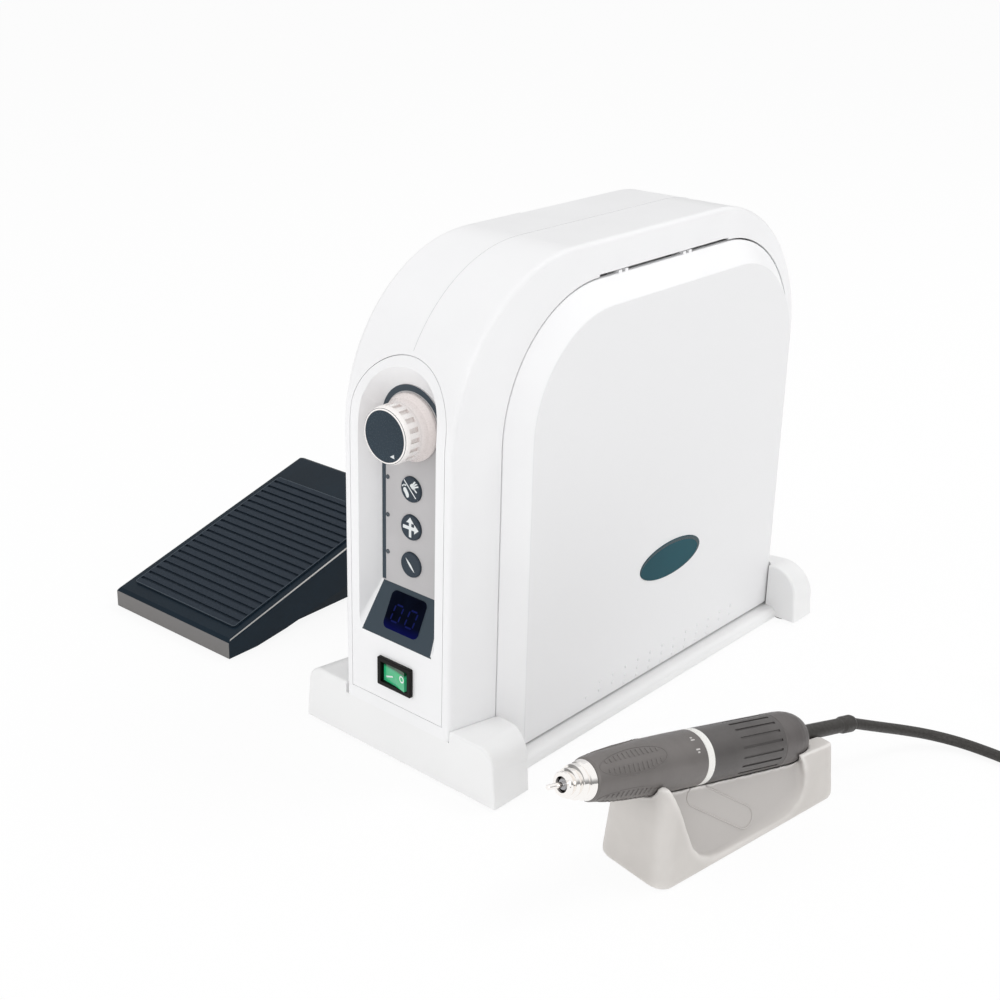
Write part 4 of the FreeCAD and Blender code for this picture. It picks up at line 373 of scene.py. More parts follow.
def turned_metal(name, colour, smooth, rough, depth):
    """Turned metal: bright, with fine tool rings that stretch its highlights."""
    return grained(name, (colour,), (0.35, 3.0), (smooth, rough), depth, Metallic=1.0)


def rolled_sheet(name, colour, smooth, rough):
    """Rolled or extruded metal: streaks drawn out along its length."""
    return grained(name, (colour,), (0.8, 3.0), (smooth, rough), 0.01, stretch=(1.0, 0.06, 1.0),
                   Metallic=1.0)


def circuit_board():
    """Glass epoxy under green resist: woven glass shows as a fine check, tracks as lighter lines."""
    material, tree, shader = new_finish("circuit_board", Base_Color=linear("#1c5a34"), IOR=1.55,
                                        Roughness=0.3)
    where = add_node(tree, "ShaderNodeTexCoord")
    tracks = add_node(tree, "ShaderNodeTexBrick",
                      {"Color1": linear("#1c5a34"), "Color2": linear("#17502d"),
                       "Mortar": linear("#2f7a4a"), "Scale": 1 / (9 * MM), "Mortar Size": 0.03},
                      {"Vector": where.outputs["Object"]})
    tree.links.new(tracks.outputs[0], shader.inputs["Base Color"])
    emboss(tree, shader, noise_of(tree, 0.4).outputs[0], 0.01)
    return material


def wound_tape():
    """Copper winding under varnished polyester tape: amber, with the wires' ridges showing."""
    material, tree, shader = new_finish("wound_tape", Base_Color=linear("#c79a3c"), IOR=1.6)
    where = add_node(tree, "ShaderNodeTexCoord")
    ridges = add_node(tree, "ShaderNodeTexWave",
                      {"bands_direction": "Z", "Scale": 1 / (2.4 * MM), "Distortion": 1.2},
                      {"Vector": where.outputs["Object"]})
    mix = add_node(tree, "ShaderNodeMixRGB", {"Color1": linear("#a5762a"), "Color2": linear("#d8ac4e")},
                   {"Fac": ridges.outputs[0]})
    tree.links.new(mix.outputs[0], shader.inputs["Base Color"])
    roughen(tree, shader, 0.25, 0.4, noise_of(tree, 2.0))
    emboss(tree, shader, ridges.outputs[0], 0.08)
    return material


def vulcanised_rubber(name, colour, shade):
    """Rubber: dull, a little dusty, with a fine pebbled skin."""
    return grained(name, (colour, shade), (0.7, 3.0), (0.55, 0.72), 0.03, IOR=1.5,
                   Specular_IOR_Level=0.25)


def satin_paint(name, colour, shade):
    """Satin lacquer on aluminium: warm grey, a soft metallic sheen and a faint orange peel."""
    return grained(name, (colour, shade), (1.2, 3.0), (0.36, 0.46), 0.015, (14, 2.0), Metallic=0.3)


def knob_moulding():
    """White ABS, warm and clean in front; painted shade darkens its grooves, and its wide rear part is
    coloured a touch darker.
    """
    material = grained("knob_white", ("#f9f5f3", "#f6f2f0"), (0.7, 3.0), (0.26, 0.30), 0.002, (14, 2.0),
                       IOR=1.53)
    tree = material.node_tree
    where = add_node(tree, "ShaderNodeTexCoord")
    centred = add_node(tree, "ShaderNodeMapping", {"Location": (0, 0, -KNOB_Z * MM), "Scale": (1, 0, 1)},
                       {"Vector": where.outputs["Object"]})
    radius = add_node(tree, "ShaderNodeVectorMath", {"operation": "LENGTH"}, {0: centred.outputs[0]})
    depth = axes_of(tree)[1]
    # painted shade in the grooves, inside 12.9 to 13.45 mm of the axis; a darker colour over the wide rear
    # part; the front 1.3 mm kept clean white
    colour_layers = (
        (radius.outputs["Value"], 13.45, 12.9, 0.7, "#dfd8d5"),
        (depth, KNOB_Y + 6.0, KNOB_Y + 12.0, 1.0, "#efe6e3"),
        (depth, KNOB_Y + 1.6, KNOB_Y + 1.3, 1.0, "#f9f5f3"),
    )
    for socket, start, end, most, layer_colour in colour_layers:
        mask = add_node(tree, "ShaderNodeMapRange",
                        {"From Min": start * MM, "From Max": end * MM, "To Max": most}, {"Value": socket})
        cover(tree, tree.nodes["Principled BSDF"], layer_colour, mask.outputs[0])
    return material


def soft_touch():
    """Elastomer coat on the cradle: warm grey and powdery, with painted shade darkening its scooped
    sides and a painted highlight lightening its edges."""
    material = grained("cradle_coat", ("#cfcbc7", "#c9c5c1"), (0.9, 4.0), (0.5, 0.64), 0.03, (22, 3.0),
                       IOR=1.45, Sheen_Weight=0.05, Sheen_Roughness=0.5, Specular_IOR_Level=0.3)
    tree = material.node_tree
    shader = tree.nodes["Principled BSDF"]
    across, along, up = axes_of(tree, TO_CRADLE)
    side = add_node(tree, "ShaderNodeMath", {"operation": "ABSOLUTE"}, {0: across}).outputs[0]
    for lean, socket in ((CRADLE_TAPER, along), (CRADLE_DRAFT, up)):
        side = add_node(tree, "ShaderNodeMath", {"operation": "MULTIPLY_ADD", 1: lean},
                        {0: socket, 2: side}).outputs[0]
    masks = []
    for socket, start, end in ((side, 20.2, 17.4), (along, 6, 14), (along, 99, 93)):
        mask = add_node(tree, "ShaderNodeMapRange", {"From Min": start * MM, "From Max": end * MM},
                        {"Value": socket})
        masks.append(mask.outputs[0])
    # painted shade: the scooped sides are coloured darker
    scooped = masks[0]
    for mask in masks[1:]:
        scooped = add_node(tree, "ShaderNodeMath", {"operation": "MULTIPLY"},
                           {0: scooped, 1: mask}).outputs[0]
    cover(tree, shader, "#bbb7b4", scooped)
    # painted highlight: the sharper edges are coloured paler, by pointiness
    shape = add_node(tree, "ShaderNodeNewGeometry")
    edge_highlight_mask = add_node(tree, "ShaderNodeMapRange", {"From Min": 0.502, "From Max": 0.53, "To Max": 0.6},
                    {"Value": shape.outputs["Pointiness"]})
    cover(tree, shader, "#f0edea", edge_highlight_mask.outputs[0])
    return material


def cable_sheath():
    """PVC cable sheath: dark warm grey, semi-matt, with slight lengthwise unevenness."""
    return grained("cable_sheath", ("#3d3b39", "#353331"), (1.5, 3.0), (0.38, 0.52), 0.02,
                   IOR=1.54, Specular_IOR_Level=0.3)


def pedal_moulding(name, colour, shade):
    """Dark ABS with a spark-eroded grain; painted light makes its front lip pale, and a painted highlight
    runs along its upper side edges.
    """
    material = grained(name, (colour, shade), (0.7, 3.0), (0.34, 0.46), 0.02, (40, 3.0),
                       IOR=1.53, Specular_IOR_Level=0.1)
    tree = material.node_tree
    shader = tree.nodes["Principled BSDF"]
    across, along, up = axes_of(tree, TO_PEDAL)
    # painted light: the front lip is coloured pale
    front = add_node(tree, "ShaderNodeMapRange",
                     {"From Min": (PEDAL_FRONT + 0.15) * MM, "From Max": (PEDAL_FRONT - 0.15) * MM},
                     {"Value": along})
    cover(tree, shader, "#a29e9b", front.outputs[0])
    drop = add_node(tree, "ShaderNodeMath", {"operation": "MULTIPLY_ADD", 1: -PEDAL_RISE},
                    {0: along, 2: up})
    top_at_middle = (PEDAL_LIP - PEDAL_RISE * PEDAL_FRONT) * MM
    drop = add_node(tree, "ShaderNodeMath", {"operation": "SUBTRACT", 1: top_at_middle},
                    {0: drop.outputs[0]})
    side = add_node(tree, "ShaderNodeMath", {"operation": "ABSOLUTE"}, {0: across})
    corner = add_node(tree, "ShaderNodeMath", {"operation": "ADD"}, {0: side.outputs[0], 1: drop.outputs[0]})
    # painted highlight: a pale line along the upper side edges
    edge = add_node(tree, "ShaderNodeMapRange",
                    {"From Min": (PEDAL_HALF - 1.05) * MM, "From Max": (PEDAL_HALF - 0.9) * MM},
                    {"Value": corner.outputs[0]})
    cover(tree, shader, "#d9d6d2", edge.outputs[0])
    return material


def sintered_magnet():
    """Sintered magnet: grey, dull and slightly grainy under thin nickel."""
    return grained("sintered_magnet", ("#8a8a8c",), (0.5, 4.0), (0.35, 0.6), 0.02, Metallic=1.0)


def white_table():
    """White table top: pure white where it is looked at, with a share of its own shading."""
    material = bpy.data.materials.new("white_table")
    tree = empty_tree(material)
    bright = add_node(tree, "ShaderNodeEmission", {"Color": linear("#ffffff"), "Strength": 1.0})
    matt = add_node(tree, "ShaderNodeBsdfDiffuse", {"Color": linear("#fbfbfb")})
    share = add_node(tree, "ShaderNodeMath", {"operation": "MULTIPLY", 1: 0.9}, {0: seen_directly(tree)})
    mix = add_node(tree, "ShaderNodeMixShader", {},
                   {0: share.outputs[0], 1: matt.outputs[0], 2: bright.outputs[0]})
    add_node(tree, "ShaderNodeOutputMaterial", {}, {"Surface": mix.outputs[0]})
    return material


FINISHES = {
    "shell_white": moulded_plastic("casing_white", "#f1f1f2", "#eeeeef", 0.30, 0.38, 0.8, 0.008),
    "plate_white": knee_plate_moulding(),
    "stand_white": moulded_plastic("stand_white", "#efefef", "#ececec", 0.34, 0.42, 0.8, 0.010),
    "panel_grey": printed_sheet(),
    "display_dark": smoked_window(),
    "key_dark": soft_key(),
    "cap_dark": moulded_plastic("knob_cap_slate", "#2b3a45", "#25333e", 0.22, 0.30, 0.7, 0.003, 0.2),
    "lens_clear": lamp_lens(),
    "rocker_green": lamp_rocker(),
    "black_plastic": moulded_plastic("black_moulding", "#1d1a18", "#171514", 0.34, 0.45, 0.6, 0.015, 0.25),
    "badge_slate": moulded_plastic("oval_slate", "#124c57", "#0e434e", 0.16, 0.22, 0.9, 0.004, 0.1),
    "steel": turned_metal("turned_steel", "#a9a9ab", 0.22, 0.34, 0.006),
    "chrome": turned_metal("bright_chrome", "#faf7f4", 0.06, 0.12, 0.003),
    "brass": rolled_sheet("stamped_brass", "#c9a252", 0.2, 0.35),
    "board_green": circuit_board(),
    "alu": rolled_sheet("extruded_aluminium", "#b4b6b9", 0.25, 0.42),
    "copper_tape": wound_tape(),
    "core_steel": rolled_sheet("varnished_core", "#4a4846", 0.35, 0.5),
    "rubber": vulcanised_rubber("black_rubber", "#1d1d1e", "#252526"),
    "pedal_shell": pedal_moulding("pedal_slate", "#11202b", "#0f1c26"),
    "tread_rubber": vulcanised_rubber("tread_rubber", "#1f2a35", "#1b2530"),
    "pedal_base": pedal_moulding("pedal_base_slate", "#1e2830", "#1a232a"),
    "hand_grey": satin_paint("grip_paint", "#74706e", "#6e6a68"),
    "ring_white": moulded_plastic("ring_white", "#efeeea", "#e9e8e4", 0.25, 0.33, 0.6, 0.006),
    "cradle_grey": soft_touch(),
    "cord_dark": cable_sheath(),
    "magnet": sintered_magnet(),
}


OWN_FINISHES = {
    "speed_knob": knob_moulding(),
    # painted shade: the motor housing and the rear cap are darker copies of the grip's satin paint
    "motor_housing": satin_paint("housing_paint_shaded", "#5d5a59", "#575453"),
    "rear_cap": satin_paint("cap_paint_shaded", "#666261", "#605c5b"),
    "switch_housing": moulded_plastic("switch_black", "#0e0b0a", "#0a0807", 0.34, 0.45, 0.6, 0.01, 0.15),
}


def dress_nodes():
    """Give every CAD node its own finish or that of its material slot."""
    for name, thing in nodes.items():
        thing.data.materials.clear()
        thing.data.materials.append(OWN_FINISHES.get(name, FINISHES[slot_of_node[name]]))


SLATE_INK = ink("slate_ink", "#323f49", gloss=0.4)
PALE_INK = ink("pale_ink", "#dfe3e4")
TICK_INK = ink("tick_ink", "#c4c1bf")
SEAM_GREY = ink("seam_shade", "#cdcecf")
MAT_LINE = ink("mat_line", "#3c4750", 0.5)
RIM_GREY = ink("rim_grey", "#bdb9b6", 0.55, gloss=0.3)
DEEP_TEAL = ink("deep_teal", "#08333c", 0.3)
DIM_BLUE = ink("dim_blue_stroke", "#0c1240", 0.4, 0.5, 0.03)


# Making of pieces
# LOOK_FROM is how far off a print looks for its skin, PRESS how deep it sits in it, and FINE the
# longest edge of a print that is laid on a skin.

LOOK_FROM = 8.0
PRESS = 0.02
FINE = 1.6


def make_piece(name, mesh, body, smooth=True):
    """A finished mesh, in place already, becomes a piece that rides on a body, if one is named."""
    mesh.name = name
    for face in mesh.polygons:
        face.use_smooth = smooth
    piece = bpy.data.objects.new(name, mesh)
    link(piece)
    if body is not None:
        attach(piece, body)
    return piece


def mesh_of(carrier):
    """The evaluated shape of a helper object as a plain mesh; the helper goes."""
    link(carrier)
    made = carrier.evaluated_get(bpy.context.evaluated_depsgraph_get())
    mesh = bpy.data.meshes.new_from_object(made)
    bpy.data.objects.remove(carrier)
    return mesh


def merged(mesh):
    """The same mesh with its doubles merged and its faces turned outwards."""
    work = bmesh.new()
    work.from_mesh(mesh)
    bmesh.ops.remove_doubles(work, verts=work.verts, dist=1e-6)
    bmesh.ops.recalc_face_normals(work, faces=work.faces)
    work.to_mesh(mesh)
    work.free()
    return mesh


def plane(origin, across, up):
    """Where a flat drawing in millimetres goes: its origin and two directions."""
    across = Vector(across).normalized()
    up = Vector(up).normalized()
    turned = Matrix((across, up, across.cross(up))).transposed().to_4x4()
    return Matrix.Translation(point(*origin)) @ turned @ Matrix.Scale(MM, 4)


def drawn(loops, thickness):
    """A flat drawing from closed loops of points; a loop inside another is a hole."""
    data = bpy.data.curves.new("drawing", "CURVE")
    data.dimensions = "2D"
    data.fill_mode = "BOTH"
    data.extrude = thickness / 2
    for loop in loops:
        spline = data.splines.new("POLY")
        spline.points.add(len(loop) - 1)
        for knot, (across, up) in zip(spline.points, loop):
            knot.co = (across, up, 0, 1)
        spline.use_cyclic_u = True
    return mesh_of(bpy.data.objects.new("drawing", data))


def copy_of(name):
    """A CAD node's mesh as one closed skin, without its stored normals."""
    mesh = merged(nodes[name].data.copy())
    if "custom_normal" in mesh.attributes:
        mesh.attributes.remove(mesh.attributes["custom_normal"])
    return mesh


def skin_of(mesh):
    """The skin of a mesh, to lay something on."""
    return BVHTree.FromPolygons([vertex.co for vertex in mesh.vertices],
                                [tuple(face.vertices) for face in mesh.polygons])


def surface_of(name):
    """The skin of a CAD node."""
    return skin_of(nodes[name].data)


def print_on(name, groups, place, thickness, finish, body, skin=None):
    """Ink or foil laid on a face: each group of loops is a shape of its own. With a skin the
    shapes are cut finer and pressed down on it, otherwise they lie in their plane."""
    work = bmesh.new()
    for group in groups:
        mesh = drawn(group, thickness)
        mesh.transform(Matrix.Translation((0, 0, thickness / 2)))
        mesh.transform(place)
        work.from_mesh(mesh)
        bpy.data.meshes.remove(mesh)
    bmesh.ops.remove_doubles(work, verts=work.verts, dist=1e-6)
    out = place.to_3x3().col[2].normalized()
    base = place.translation
    if skin is not None:
        bmesh.ops.triangulate(work, faces=work.faces)
        for turn in range(5):
            long_edges = [edge for edge in work.edges if edge.calc_length() > FINE * MM]
            if long_edges:
                bmesh.ops.subdivide_edges(work, edges=long_edges, cuts=1, use_grid_fill=False)
                bmesh.ops.triangulate(work, faces=work.faces)
        for vertex in work.verts:
            height = (vertex.co - base).dot(out)
            start = vertex.co + out * (LOOK_FROM * MM - height)
            met = skin.ray_cast(start, -out, 2 * LOOK_FROM * MM)[0]
            if met is not None:
                vertex.co = met + out * (height - PRESS * MM)
    bmesh.ops.recalc_face_normals(work, faces=work.faces)
    mesh = bpy.data.meshes.new(name)
    work.to_mesh(mesh)
    work.free()
    mesh.materials.append(finish)
    return make_piece(name, mesh, body, smooth=False)


def wire(places, radius, cyclic=True):
    """A round wire along a line of places, in metres."""
    data = bpy.data.curves.new("wire", "CURVE")
    data.dimensions = "3D"
    spline = data.splines.new("POLY")
    spline.points.add(len(places) - 1)
    for knot, place in zip(spline.points, places):
        knot.co = (*place, 1.0)
    spline.use_cyclic_u = cyclic
    data.bevel_depth = radius * MM
    data.bevel_resolution = 2
    data.use_fill_caps = not cyclic
    return mesh_of(bpy.data.objects.new("wire", data))


def bead(name, places, radius, finish, body, cyclic=True):
    """A piece that is one round wire: a thin joint, line or rim."""
    mesh = merged(wire(places, radius, cyclic))
    mesh.materials.append(finish)
    make_piece(name, mesh, body)


def circle(middle, across, up, count=56):
    """A circle or oval as a loop of points."""
    return [(middle[0] + across * math.cos(2 * math.pi * step / count),
             middle[1] + up * math.sin(2 * math.pi * step / count)) for step in range(count)]


def bar(start, end, width):
    """A straight stroke."""
    start, end = Vector(start), Vector(end)
    side = (end - start).normalized().orthogonal() * width / 2
    return [tuple(start + side), tuple(start - side), tuple(end - side), tuple(end + side)]


def soft_corners(corners, radii):
    """A polygon whose corners are rounded by their own radii."""
    steps = 6
    loop = []
    for index, (corner, radius) in enumerate(zip(corners, radii)):
        corner = Vector(corner)
        before = (Vector(corners[index - 1]) - corner).normalized() * radius
        after = (Vector(corners[(index + 1) % len(corners)]) - corner).normalized() * radius
        for step in range(steps + 1):
            share = step / steps
            loop.append(tuple(corner + before * (1 - share) ** 2 + after * share ** 2))
    return loop


def rounded_box(half, low, high, radius):
    """A rectangle round the middle line, from low to high, with round corners."""
    return soft_corners([(-half, low), (half, low), (half, high), (-half, high)], [radius] * 4)


def ridge_tree():
    """Geometry Nodes: one soft-edged ridge on each point, turned and stretched by its attributes."""
    tree = bpy.data.node_groups.new("ridges_on_points", "GeometryNodeTree")
    for label, kind in (("Points", "NodeSocketGeometry"), ("Length", "NodeSocketFloat"),
                        ("Width", "NodeSocketFloat"), ("Height", "NodeSocketFloat"),
                        ("Softness", "NodeSocketFloat"), ("Finish", "NodeSocketMaterial")):
        tree.interface.new_socket(label, in_out="INPUT", socket_type=kind)
    tree.interface.new_socket("Ridges", in_out="OUTPUT", socket_type="NodeSocketGeometry")
    given = add_node(tree, "NodeGroupInput").outputs
    size = add_node(tree, "ShaderNodeCombineXYZ", {},
                    {"X": given["Length"], "Y": given["Width"], "Z": given["Height"]})
    block = add_node(tree, "GeometryNodeMeshCube", {}, {"Size": size.outputs[0]})
    firm = add_node(tree, "ShaderNodeMath", {"operation": "SUBTRACT", 0: 1.0}, {1: given["Softness"]})
    ridge = add_node(tree, "GeometryNodeSubdivisionSurface", {"Level": 2},
                     {"Mesh": block.outputs["Mesh"], "Edge Crease": firm.outputs[0]})
    read = [add_node(tree, "GeometryNodeInputNamedAttribute", {"data_type": "FLOAT_VECTOR", "Name": label})
            for label in ("out", "along", "stretch")]
    turn = add_node(tree, "FunctionNodeAxesToRotation", {"primary_axis": "Z", "secondary_axis": "X"},
                    {0: read[0].outputs[0], 1: read[1].outputs[0]})
    placed = add_node(tree, "GeometryNodeInstanceOnPoints", {},
                      {"Points": given["Points"], "Instance": ridge.outputs[0],
                       "Rotation": turn.outputs[0], "Scale": read[2].outputs[0]})
    real = add_node(tree, "GeometryNodeRealizeInstances", {}, {0: placed.outputs[0]})
    dressed = add_node(tree, "GeometryNodeSetMaterial", {},
                       {"Geometry": real.outputs[0], "Material": given["Finish"]})
    add_node(tree, "NodeGroupOutput", {}, {0: dressed.outputs[0]})
    return tree


def set_ridges(name, rows, sizes, finish, body):
    """Ridges of one kind; a row gives a place, the way out, the way along and the stretch."""
    seeds = bpy.data.meshes.new(name)
    seeds.from_pydata([row[0] for row in rows], [], [])
    for column, label in ((1, "out"), (2, "along"), (3, "stretch")):
        layer = seeds.attributes.new(label, "FLOAT_VECTOR", "POINT")
        layer.data.foreach_set("vector", [value for row in rows for value in row[column]])
    carrier = bpy.data.objects.new(name, seeds)
    modifier = carrier.modifiers.new("ridges", "NODES")
    modifier.node_group = RIDGES
    given = {"Length": sizes[0] * MM, "Width": sizes[1] * MM, "Height": sizes[2] * MM,
             "Softness": sizes[3], "Finish": finish}
    for item in RIDGES.interface.items_tree:
        if item.in_out == "INPUT" and item.name in given:
            modifier[item.identifier] = given[item.name]
    return make_piece(name, mesh_of(carrier), body)


RIDGES = ridge_tree()

# Front panel

FRONT_Y = -140.0
OVERLAY_Y = -129.5
KEY_LEVELS = (("foot_hand_button", 138.8), ("direction_button", 119.9), ("run_button", 101.0))
SLOPE_LOW_Z = 63.5
SLOPE = math.radians(64.9)
SWITCH_Z = 46.6
ON_FRONT = (1, 0, 0), (0, 0, 1)
ON_SLOPE = (1, 0, 0), (0, math.cos(SLOPE), math.sin(SLOPE))


def edge_print():
    """Slate line printed round the membrane: wide over the knob, narrow down both sides."""
    half, width, extra = 19.0, 2.3, 0.7
    low = 88.3 - KNOB_Z
    crown = 0.7
    outer = [(half, low)]
    inner = [(half - width, low)]
    for step in range(33):
        turn = math.pi * step / 32
        narrow = half - width - extra * math.sin(turn) ** 2
        outer.append((half * math.cos(turn), crown + half * math.sin(turn)))
        inner.append((narrow * math.cos(turn), crown + narrow * math.sin(turn)))
    outer.append((-half, low))
    inner.append((width - half, low))
    print_on("panel_edge_print", [[outer + inner[::-1]]], plane((0, OVERLAY_Y, KNOB_Z), *ON_FRONT), 0.06,
             SLATE_INK, "base")


def slope_print():
    """The sloping field round the display, printed slate from wall to wall and corner to corner.
    Its edge is straight as seen across the recess, so it climbs the round foot of each wall. Rays
    from the camera's mirror image find the right edge, and the left edge mirrors it."""
    foot, head, low, high = 22.7, 18.6, 0.3, 26.8
    rows = 28
    skin = surface_of("front_fascia")
    place = plane((0, FRONT_Y, SLOPE_LOW_Z), *ON_SLOPE)
    mirror_image = Vector((-CAMERA_PLACE.x, CAMERA_PLACE.y, CAMERA_PLACE.z))
    toward = (mirror_image - point(0, FRONT_Y, SLOPE_LOW_Z)).normalized()
    edge = []
    for row in range(rows):
        share = row / (rows - 1)
        spot = Vector((foot + (head - foot) * share, low + (high - low) * share, 0))
        met = skin.ray_cast(place @ spot + toward * 12 * MM, -toward)[0]
        met = place.inverted() @ met
        edge.append((met.x, met.y))
    field = edge + [(-across, up) for across, up in edge[::-1]]
    opening = rounded_box(11.4, 5.0, 24.0, 3.4)
    print_on("display_field", [[field, opening]], place, 0.06, SLATE_INK, "base", skin)
    ring = [rounded_box(11.8, 4.6, 24.4, 3.8), rounded_box(11.16, 5.24, 23.76, 3.2)]
    print_on("display_border", [ring], place, 0.1, SLATE_INK, "base")


def digit_strokes(middle, height, width):
    """The outer six strokes of a seven-stroke digit, leaning a little."""
    lean, half_stroke, gap, tip = 0.12, 0.42, 0.5, 0.4
    tall = height / 2
    wide = width / 2
    corners = [(-wide, tall), (wide, tall), (wide, 0), (wide, -tall), (-wide, -tall), (-wide, 0)]
    strokes = []
    for start, end in zip(corners, corners[1:] + corners[:1]):
        start, end = Vector(start), Vector(end)
        along = (end - start).normalized()
        side = along.orthogonal() * half_stroke
        first = start + along * gap
        last = end - along * gap
        tip_in = along * tip
        loop = [first, first + tip_in + side, last - tip_in + side, last, last - tip_in - side,
                first + tip_in - side]
        strokes.append([[(middle[0] + spot.x + lean * spot.y, middle[1] + spot.y) for spot in loop]])
    return strokes


def display_digits():
    """Two dim blue digits, just lit behind the smoked window."""
    groups = []
    for across in (-4.6, 4.6):
        groups += digit_strokes((across, 13.4), 8.2, 5.0)
    place = plane((0, FRONT_Y, SLOPE_LOW_Z), *ON_SLOPE) @ Matrix.Translation((0, 0, 0.3))
    print_on("display_digits", groups, place, 0.03, DIM_BLUE, "base")


def key_pictures():
    """Plain pictures on the keys: hand and foot, two crossing arrows, a slim stroke."""
    palm = soft_corners([(-0.4, 2.2), (0.8, 3.4), (2.6, 3.0), (3.2, 1.2), (2.3, 0.3), (0.9, 0.9)],
                        (0.5, 0.6, 0.5, 0.6, 0.6, 0.5))
    fingers = [[bar(start, end, 0.75)] for start, end in (
        ((1.5, 3.1), (3.0, 4.7)), ((2.2, 2.7), (4.2, 4.0)), ((2.8, 2.0), (5.0, 2.8)),
        ((2.3, 0.9), (4.0, -0.4)))]
    sole = soft_corners([(-4.4, 0.1), (-3.1, 0.7), (-2.0, -0.6), (-0.8, -2.6), (-1.1, -4.2), (-2.4, -4.4),
                         (-3.1, -2.8), (-4.5, -1.2)], (0.7, 0.7, 0.6, 0.7, 0.8, 0.8, 0.6, 0.8))
    toes = [[circle(spot, 0.42, 0.42, 16)] for spot in ((-4.9, 0.9), (-4.0, 1.5), (-3.0, 1.6))]
    divide = bar((-4.1, 4.1), (4.3, -4.3), 0.55)
    arrows = [(-0.8, -4.7), (0.7, -4.7), (0.7, -1.0), (2.5, -1.0), (2.5, -2.5), (5.3, -0.1), (2.5, 2.3),
              (2.5, 0.7), (0.7, 0.7), (0.7, 2.4), (2.3, 2.4), (-0.1, 5.2), (-2.5, 2.4), (-0.8, 2.4),
              (-0.8, 0.7), (-4.6, 0.7), (-4.6, -1.0), (-0.8, -1.0)]
    stroke = []
    for step in range(17):
        share = step / 8
        swell = 0.62 * math.sin(math.pi * share)
        share = min(share, 2 - share)
        stroke.append((-2.9 + 5.6 * share + swell * 0.77, 3.1 - 6.2 * share + swell * 0.64))
    pictures = ([[sole], *toes, [palm], *fingers, [divide]], [[arrows]], [[stroke[:-1]]])
    for (key, level), groups in zip(KEY_LEVELS, pictures):
        print_on(key.replace("button", "picture"), groups, plane((0, OVERLAY_Y - 1.1, level), *ON_FRONT),
                 0.06, PALE_INK, key, surface_of(key))


def knob_marks():
    """A white pointer on the knob's cap and the thin dark joint round its front rim."""
    pointer = [(3.3, -8.7), (5.7, -7.2), (6.0, -9.1)]
    print_on("knob_pointer", [[pointer]], plane((0, KNOB_Y, KNOB_Z), *ON_FRONT), 0.08, PALE_INK,
             "speed_knob", surface_of("knob_cap"))
    line = [point(across, KNOB_Y + 0.35, KNOB_Z + up) for across, up in circle((0, 0), 12.84, 12.84, 72)]
    bead("knob_rim_joint", line, 0.12, SLATE_INK, "speed_knob")


def rocker_marks():
    """A bar and a ring on the mains rocker, its plain on and off marks."""
    groups = [[bar((-6.2, -2.5), (-1.6, -0.9), 0.8)],
              [circle((5.3, 0.7), 1.8, 1.8, 32), circle((5.3, 0.7), 1.1, 1.1, 32)]]
    print_on("rocker_marks", groups, plane((0, FRONT_Y - 2.0, SWITCH_Z), *ON_FRONT), 0.06, PALE_INK,
             "power_rocker", surface_of("power_rocker"))


def casing_seam():
    """The fine joint of the two casing halves over the top, from the front panel's arch back."""
    front_turn, rear_turn, steps = 157, 24, 96
    skin = surface_of("right_shell")
    middle = point(0.15, 0, 150)
    line = []
    for step in range(steps + 1):
        turn = math.radians(front_turn + (rear_turn - front_turn) * step / steps)
        way = Vector((0, math.cos(turn), math.sin(turn)))
        met = skin.ray_cast(middle + way * 400 * MM, -way)[0]
        line.append(Vector((0, met.y, met.z)))
    bead("casing_seam", line, 0.13, SEAM_GREY, "base", cyclic=False)


# Knee plate

BADGE_Y, BADGE_Z = 20.2, 69.0
BADGE_LONG, BADGE_SHORT = 26.5, 9.7
BADGE_X = 43.25


def badge_rim():
    """Painted shade on the bevelled border of the plain oval plate: a dark teal ring, widest above and
    behind.
    """
    # painted shade: a dark teal ring round the badge, offset so it is widest above and behind
    outer = circle((BADGE_Y, BADGE_Z), BADGE_LONG - 0.25, BADGE_SHORT - 0.25, 96)
    inner = circle((BADGE_Y - 0.8, BADGE_Z - 0.75), BADGE_LONG - 1.3, BADGE_SHORT - 1.15, 96)
    print_on("badge_rim", [[outer, inner]], plane((BADGE_X, 0, 0), (0, 1, 0), (0, 0, 1)), 0.06,
             DEEP_TEAL, "knee_plate", surface_of("plate_badge"))


def plate_bumps():
    """Three rows of small grip bumps along the foot of the knee plate."""
    pitch = 10.9
    rows = [(point(PLATE_X, first + step * pitch, level), (1, 0, 0), (0, 1, 0), (1, 1, 1))
            for level, first, count in ((18.4, -35.8, 12), (13.8, -47.1, 13), (9.9, -15.0, 8))
            for step in range(count)]
    set_ridges("knee_plate_bumps", rows, (2.3, 2.3, 1.1, 1.0), FINISHES["plate_white"], "knee_plate")


# Pedal

MAT_RISE = 48.2


def live_springs():
    """The pedal's return springs as one merged copy, fixed where the CAD model has them; the CAD node is
    hidden.
    """
    mesh = copy_of("pedal_springs")
    piece = make_piece("pedal_springs_live", mesh, None)
    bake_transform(piece)
    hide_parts("pedal_springs")


def mat_edge():
    """The raised edge of the ribbed mat on the pedal."""
    turn = Matrix.Translation(PEDAL_PLACE) @ Matrix.Rotation(PEDAL_YAW, 4, "Z")
    line = [turn @ point(across, along, MAT_RISE + PEDAL_RISE * along)
            for across, along in rounded_box(42.8, -122.2, -7.2, 1.5)]
    bead("mat_edge", line, 0.24, MAT_LINE, "pedal_treadle")


# Handpiece

PAD_TURNS = (53, 143, 233, 323)
PAD_MIDDLE = -43.8
PAD_HALF_LONG = 18.4
PAD_HALF_TURN = 30.0
RIBS_ALONG = 14
RIBS_SPREAD = 7.2
RIB_START = 7.0
RIM_ROOM = 5.0
SHORTEST_RIB = 4.0


